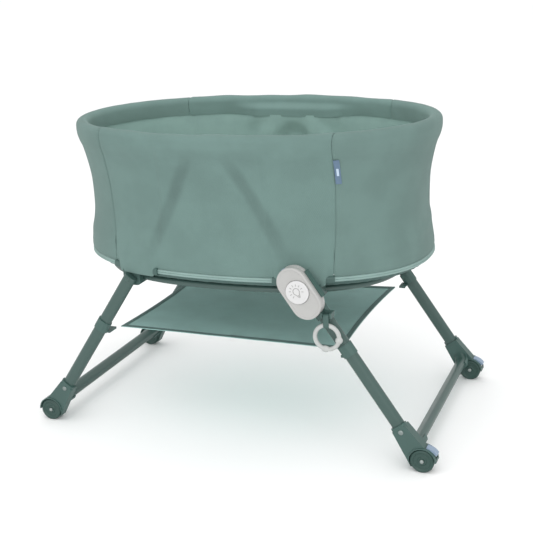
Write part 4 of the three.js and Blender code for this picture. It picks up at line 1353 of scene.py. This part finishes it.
@dataclass
class Shelf:
    """The cloth shelf between the legs, in two halves that meet without a seam, with a folded hem."""

    corner: tuple[float, float] = (262 * MM, 208 * MM)
    z: float = 231.4 * MM
    dip: float = 9 * MM
    sag: float = 6 * MM
    thick: float = 1.2 * MM
    hem: float = 11 * MM

    def height(self, x: float, y: float) -> float:
        """The cloth's height: it hangs a little in the middle and at its long edges."""
        x0, y0 = self.corner
        sx, sy = 1 - (x / x0) ** 2, 1 - 0.55 * (y / y0) ** 2
        fold = 0.5 * MM * noise.noise(Vector((x * 11, y * 11, 0)))
        return self.z - self.sag * max(0.0, sx) * sy + fold * max(0.0, sx)

    def end_x(self, share: float) -> float:
        """How far along X the end between two collars is, at a share from -1 to 1 of its length."""
        return self.corner[0] - self.dip * (1 - share * share)

    def edge_y(self, x: float) -> float:
        """How far along Y the long edges are, at a place along X."""
        x0, y0 = self.corner
        return y0 - self.dip * (1 - (x / x0) ** 2)

    def half(self, sx: int, side: str) -> None:
        """Lays one half of the shelf, from the middle out towards the collars."""
        x0, y0 = self.corner

        def place(u: float, v: float) -> Vector:
            share = 2 * v - 1
            x = mix(0.0, self.end_x(share), u)
            y = share * self.edge_y(x)
            return Vector((sx * x, y, self.height(x, y)))
        piece = formed(f"{side}_shelf_cloth", 70, 100, place, (x0, 2 * y0))
        if sx < 0:
            piece.data.flip_normals()
        modify(piece, "SOLIDIFY", thickness=self.thick, offset=-1)
        smooth(outward(piece), 50)
        dress_blended(piece, SHELF_CLOTH, side, sx, x0)
        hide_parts(f"{side}_shelf")

    def hems(self, sx: int, side: str) -> None:
        """Folds the hem round the half's three free edges."""
        x0, y0 = self.corner
        clear = 0.35 * MM

        def line(share: float) -> tuple[float, float]:
            if share < 0.25:
                x = mix(0.0, x0, share / 0.25)
                return x, -self.edge_y(x)
            if share > 0.75:
                x = mix(x0, 0.0, (share - 0.75) / 0.25)
                return x, self.edge_y(x)
            t = (share - 0.25) / 0.5 * 2 - 1
            return self.end_x(t), t * y0

        def place(u: float, v: float) -> Vector:
            x, y = line(v)
            if v < 0.25 or v > 0.75:
                cx, cy = x, y * (1 - u * self.hem / 0.2)
            else:
                cx, cy = x - u * self.hem, y * mix(1, 1 - self.hem / y0, u)
            return Vector((sx * cx, cy, self.height(cx, cy) + clear + 0.9 * MM * math.sin(math.pi * (0.1 + 0.8 * u))))
        piece = formed(f"{side}_shelf_hem", 10, 240, place, (self.hem, 0.95))
        modify(piece, "SOLIDIFY", thickness=0.8 * MM, offset=-1)
        smooth(outward(piece), 50)
        dress_blended(piece, HEM_TAPE, side, sx, x0)

    def build(self) -> None:
        """Builds both halves."""
        for side, sx in SIDES:
            self.half(sx, side)
            self.hems(sx, side)


def dress_blended(piece: bpy.types.Object, finish: Finish, side: str, sx: int, reach: float) -> None:
    """Gives cloth that a folding frame pulls its material, and settles its place into its mesh."""
    piece.data.materials.clear()
    piece.data.materials.append(finish.made())
    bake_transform(piece)
    LOG.info("%s: %d faces", piece.name, len(piece.data.polygons))


# ---------------------------------------------------------------- the night light and the toy

@dataclass
class NightLight:
    """The light clipped to the front right leg: two shells, a big button, a slider and its holder."""

    body: str = "right_legs"
    centre: tuple[float, float, float] = (198.52 * MM, -262 * MM, 372.37 * MM)
    lean: float = math.radians(34.42)
    long: float = 115 * MM
    wide: float = 64 * MM
    split: float = 11 * MM
    top: float = 26 * MM
    button_up: float = 4 * MM
    button_r: float = 24.4 * MM

    @property
    def frame(self) -> Matrix:
        """The light's own axes: X across it, Y up the leg and Z outwards."""
        up = Vector((-math.sin(self.lean), 0, math.cos(self.lean)))
        out = Vector((0, -1, 0))
        turned = Matrix((up.cross(out), up, out)).transposed().to_4x4()
        return Matrix.Translation(Vector(self.centre)) @ turned

    def placed(self, piece: bpy.types.Object) -> bpy.types.Object:
        """Moves a piece from the light's own axes to its place."""
        piece.data.transform(self.frame)
        return piece

    def front_shell(self) -> None:
        """Moulds the front shell: a stadium with a soft edge, a dished face and a well for the button."""
        piece = plate("light_front_shell_moulded", stadium(self.wide, self.long, 32), self.split + 0.4 * MM, self.top)

        def face() -> None:
            stepped((2.4 * MM, 1.2 * MM), (2.2 * MM, -0.2 * MM), (1.6 * MM, -1.1 * MM))
        top = self.top - 1.2 * MM
        for vert in piece.data.vertices:
            if vert.co.z > self.split + 1 * MM:
                vert.co.z = top
        edit(piece, Pick.FACES, lambda f: f.normal.z > 0.9 and f.calc_center_median().z > top - 0.1 * MM, face)
        clear_selection()
        bpy.ops.mesh.primitive_cylinder_add(vertices=96, radius=self.button_r + 0.6 * MM, depth=20 * MM,
                                            location=(0, self.button_up, self.top + 5 * MM))
        cut_with(piece, named("well"))
        soften(piece, 0.7 * MM, 3, 28)
        dress(self.placed(piece), SHELL, "light_grey", self.body, "light_front_shell")

    def button(self) -> None:
        """Moulds the domed button with a bulb and its rays in thin raised lines."""
        r = self.button_r
        clear_selection()
        bpy.ops.mesh.primitive_cylinder_add(vertices=96, radius=r, depth=8 * MM, end_fill_type="NGON",
                                            location=(0, self.button_up, self.top - 3.4 * MM))
        piece = named("light_button_moulded")

        def crown() -> None:
            stepped((1.4 * MM, 0.9 * MM), (7 * MM, 0.15 * MM), (8 * MM, -0.1 * MM))
        edit(piece, Pick.FACES, lambda f: f.normal.z > 0.9, crown)
        soften(piece, 0.5 * MM, 3, 25)
        dress(self.placed(piece), BUTTON, "white_button", "light_button_part", "light_button")
        mark = self.icon()
        dress(self.placed(mark), ICON, "white_button", "light_button_part")

    def icon(self) -> bpy.types.Object:
        """Draws a plain light bulb with rays as thin raised lines on the button."""
        high = self.top + 1.9 * MM
        low = high - 0.8 * MM
        line_wide = 1.15 * MM
        bulb_up, bulb_r, ray_from, ray_to = 2.6, 6.8, 11, 15.6

        def around(r: float, degrees: float) -> tuple[float, float]:
            turn = math.radians(degrees)
            return r * math.cos(turn), bulb_up + r * math.sin(turn)
        bulb = [around(bulb_r, t) for t in range(-52, 233, 12)]
        lines = [[(3.2, -6.4), (3.2, -4.8), *bulb, (-3.2, -4.8), (-3.2, -6.4)],
                 [(-3.2, -6.4), (3.2, -6.4)], [(-3.2, -8.6), (3.2, -8.6)], [(-1.8, -10.6), (1.8, -10.6)]]
        lines += [[around(ray_from, t), around(ray_to, t)] for t in range(-30, 211, 30)]
        pieces = [stroke(f"icon_line_{i}", [(x * MM, y * MM + self.button_up) for x, y in line], line_wide, low, high)
                  for i, line in enumerate(lines)]
        clear_selection()
        for piece in pieces:
            piece.select_set(True)
        bpy.context.view_layer.objects.active = pieces[0]
        bpy.ops.object.join()
        pieces[0].name = "light_button_icon"
        pieces[0].data.name = "light_button_icon"
        return pieces[0]

    def back_shell(self) -> None:
        """Moulds the back shell, and a black band in the gap where it meets the front one, as painted shadow."""
        piece = plate("light_back_shell_moulded", stadium(self.wide, self.long, 32), 0.2 * MM, self.split - 0.4 * MM)
        soften(piece, 1.2 * MM, 3, 40)
        dress(self.placed(piece), SHELL, "light_grey", self.body, "light_back_shell")
        gap = plate("light_shell_shadow_gap", stadium(self.wide - 2.4 * MM, self.long - 2.4 * MM, 32),
                    self.split - 1 * MM, self.split + 1 * MM)
        soften(gap, 0.3 * MM, 2, 40)
        dress(self.placed(gap), DARK, "light_grey", self.body)

    def build(self) -> None:
        """Builds the light."""
        self.front_shell()
        self.back_shell()
        self.button()
        rounded("light_switch", PEDAL, 0.5 * MM)
        rounded("light_holder", MOULDING, 0.7 * MM)
        rounded("battery_door", SHELL, 0.5 * MM)
        refinish("circuit_board", RESIST)
        for node in ("battery_pack", "speaker"):
            refinish(node, BLACK)


def stepped(*steps: tuple[float, float]) -> None:
    """Insets the selected face and lifts it, again and again.

    Args:
        *steps: how far each step insets the face, and then lifts it, in metres.
    """
    for inset, lift in steps:
        bpy.ops.mesh.inset(thickness=inset, depth=0)
        bpy.ops.transform.translate(value=(0, 0, lift))


def stroke(name: str, points: Sequence[tuple[float, float]], wide: float, low: float,
           high: float) -> bpy.types.Object:
    """Draws a raised line of even width through points in X and Y.

    Args:
        name: the line's name.
        points: the line's middle.
        wide: its width.
        low: the height of its foot.
        high: the height of its top.

    Returns:
        The closed line.
    """
    count = len(points)
    left, right = [], []
    for i, (x, y) in enumerate(points):
        (xa, ya), (xb, yb) = points[max(0, i - 1)], points[min(count - 1, i + 1)]
        size = math.hypot(xb - xa, yb - ya)
        nx, ny = -(yb - ya) / size * wide / 2, (xb - xa) / size * wide / 2
        left.append((x + nx, y + ny))
        right.append((x - nx, y - ny))
    return soften(plate(name, [*right, *reversed(left)], low, high), 0.12 * MM, 1, 40)


@dataclass
class Toy:
    """The ring toy: a strap from the light's holder, and a ring with a bead and a flat pad."""

    centre: tuple[float, float, float] = (250.6 * MM, -272 * MM, 280.5 * MM)
    ring_r: float = 25.5 * MM
    tube_r: float = 4.5 * MM
    bead_r: float = 7.5 * MM
    strap: tuple[float, float] = (12 * MM, 1.5 * MM)

    def ring(self) -> None:
        """Moulds the ring with its bead and its pad in one."""
        clear_selection()
        bpy.ops.mesh.primitive_torus_add(major_segments=96, minor_segments=28, major_radius=self.ring_r,
                                         minor_radius=self.tube_r, rotation=(math.pi / 2, 0, 0), location=self.centre)
        piece = named("toy_ring_moulded")
        for name, angle, size in (("bead", -10, (1, 1, 1)), ("pad", -99, (1.25, 0.62, 0.95))):
            t = math.radians(angle)
            at = Vector(self.centre) + Vector((math.cos(t), 0, math.sin(t))) * self.ring_r
            clear_selection()
            bpy.ops.mesh.primitive_uv_sphere_add(segments=48, ring_count=28, radius=self.bead_r,
                                                 location=at, scale=size)
            cut_with(piece, named(name), operation="UNION")
        soften(piece, 0.5 * MM, 2, 30)
        dress(piece, RING, "light_grey", "toy_ring_part", "toy_ring")

    def band(self) -> None:
        """Loops the strap round the holder's bar and the ring."""
        low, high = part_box("toy_strap")
        wide, thick = self.strap
        middle = (low + high) / 2
        out = stadium(high.y - low.y - 2 * thick, high.z - low.z - 2 * thick, 16)
        across = Vector((1, 0, 0))
        stations = []
        for i, (y, z) in enumerate(out):
            (ya, za), (yb, zb) = out[i - 1], out[(i + 1) % len(out)]
            inwards = Vector((0, yb - ya, zb - za)).normalized().cross(across)
            stations.append((middle + Vector((0, y, z)) + inwards * (-thick / 2), across, inwards))
        piece = swept("toy_strap_band", stations, stadium(wide, thick * 1.05, 5), True, (0.027, 0.08))
        dress(piece, MOULDING, "moulded_green", "toy_strap_part", "toy_strap")

    def build(self) -> None:
        """Builds the toy."""
        self.ring()
        self.band()


# ---------------------------------------------------------------- the studio

@dataclass
class Studio:
    """A pale floor, soft lights and the camera."""

    eye: tuple[float, float, float] = (0.8891, -2.1056, 1.0337)
    turn: float = math.radians(22.58)
    rise: float = math.radians(17.17)
    roll: float = math.radians(-2.706)
    lens: float = 69.914
    sky: float = 1.1
    lamps: tuple[tuple[str, tuple[float, float, float], float, float], ...] = (
        ("key_light", (1.2, -2.2, 3.0), 2.4, 13),
        ("front_light", (0.5, -2.8, 1.0), 1.6, 16),
        ("top_light", (0, -0.6, 3.4), 2.6, 16))

    def camera(self) -> None:
        """Sets the camera, which is rolled a little."""
        sa, ca = math.sin(self.turn), math.cos(self.turn)
        back = Vector((sa * math.cos(self.rise), -ca * math.cos(self.rise), math.sin(self.rise)))
        right = Vector((ca, sa, 0))
        up = back.cross(right)
        c, s = math.cos(self.roll), math.sin(self.roll)
        turned = Matrix((right * c + up * s, up * c - right * s, back)).transposed()
        bpy.ops.object.camera_add(location=self.eye, rotation=turned.to_euler())
        shot = bpy.context.active_object
        shot.data.lens = self.lens
        shot.data.sensor_width = 36
        shot.data.clip_end = 50
        bpy.context.scene.camera = shot

    def lamp(self, name: str, at: tuple[float, float, float], size: float, power: float) -> None:
        """Hangs a square soft light that faces the object."""
        way = Vector((0, 0, 0.35)) - Vector(at)
        bpy.ops.object.light_add(type="AREA", location=at, rotation=way.to_track_quat("-Z", "Y").to_euler())
        light = bpy.context.active_object
        light.name = name
        light.data.size = size
        light.data.energy = power

    def floor(self) -> None:
        """Lays the pale floor."""
        clear_selection()
        bpy.ops.mesh.primitive_plane_add(size=60, location=(0, 0, 0))
        ground = named("studio_floor")
        ground.data.materials.append(Finish("studio_floor_white", "#f6f6f6", 0.9).made())

    def build(self) -> None:
        """Builds the studio."""
        world = bpy.data.worlds.new("studio")
        bpy.context.scene.world = world
        world.use_nodes = True
        sky = world.node_tree.nodes["Background"]
        sky.inputs[0].default_value = (1, 1, 1, 1)
        sky.inputs[1].default_value = self.sky
        bpy.context.scene.view_settings.view_transform = "Standard"
        self.floor()
        for name, at, size, power in self.lamps:
            self.lamp(name, at, size, power)
        self.camera()


def main() -> None:
    """Builds the bassinet, piece by piece, and the studio round it."""
    logging.basicConfig(level=logging.INFO, format="%(message)s")
    Basket().build()
    Stand().build()
    for side, sx in SIDES:
        LegFrame(side, sx).build()
    WheelSet().build()
    for face, _ in FACES:
        rounded(f"{face}_right_brake_pedal", PEDAL, 0.8 * MM)
    Shelf().build()
    NightLight().build()
    Toy().build()
    Studio().build()


if __name__ == "__main__":
    main()
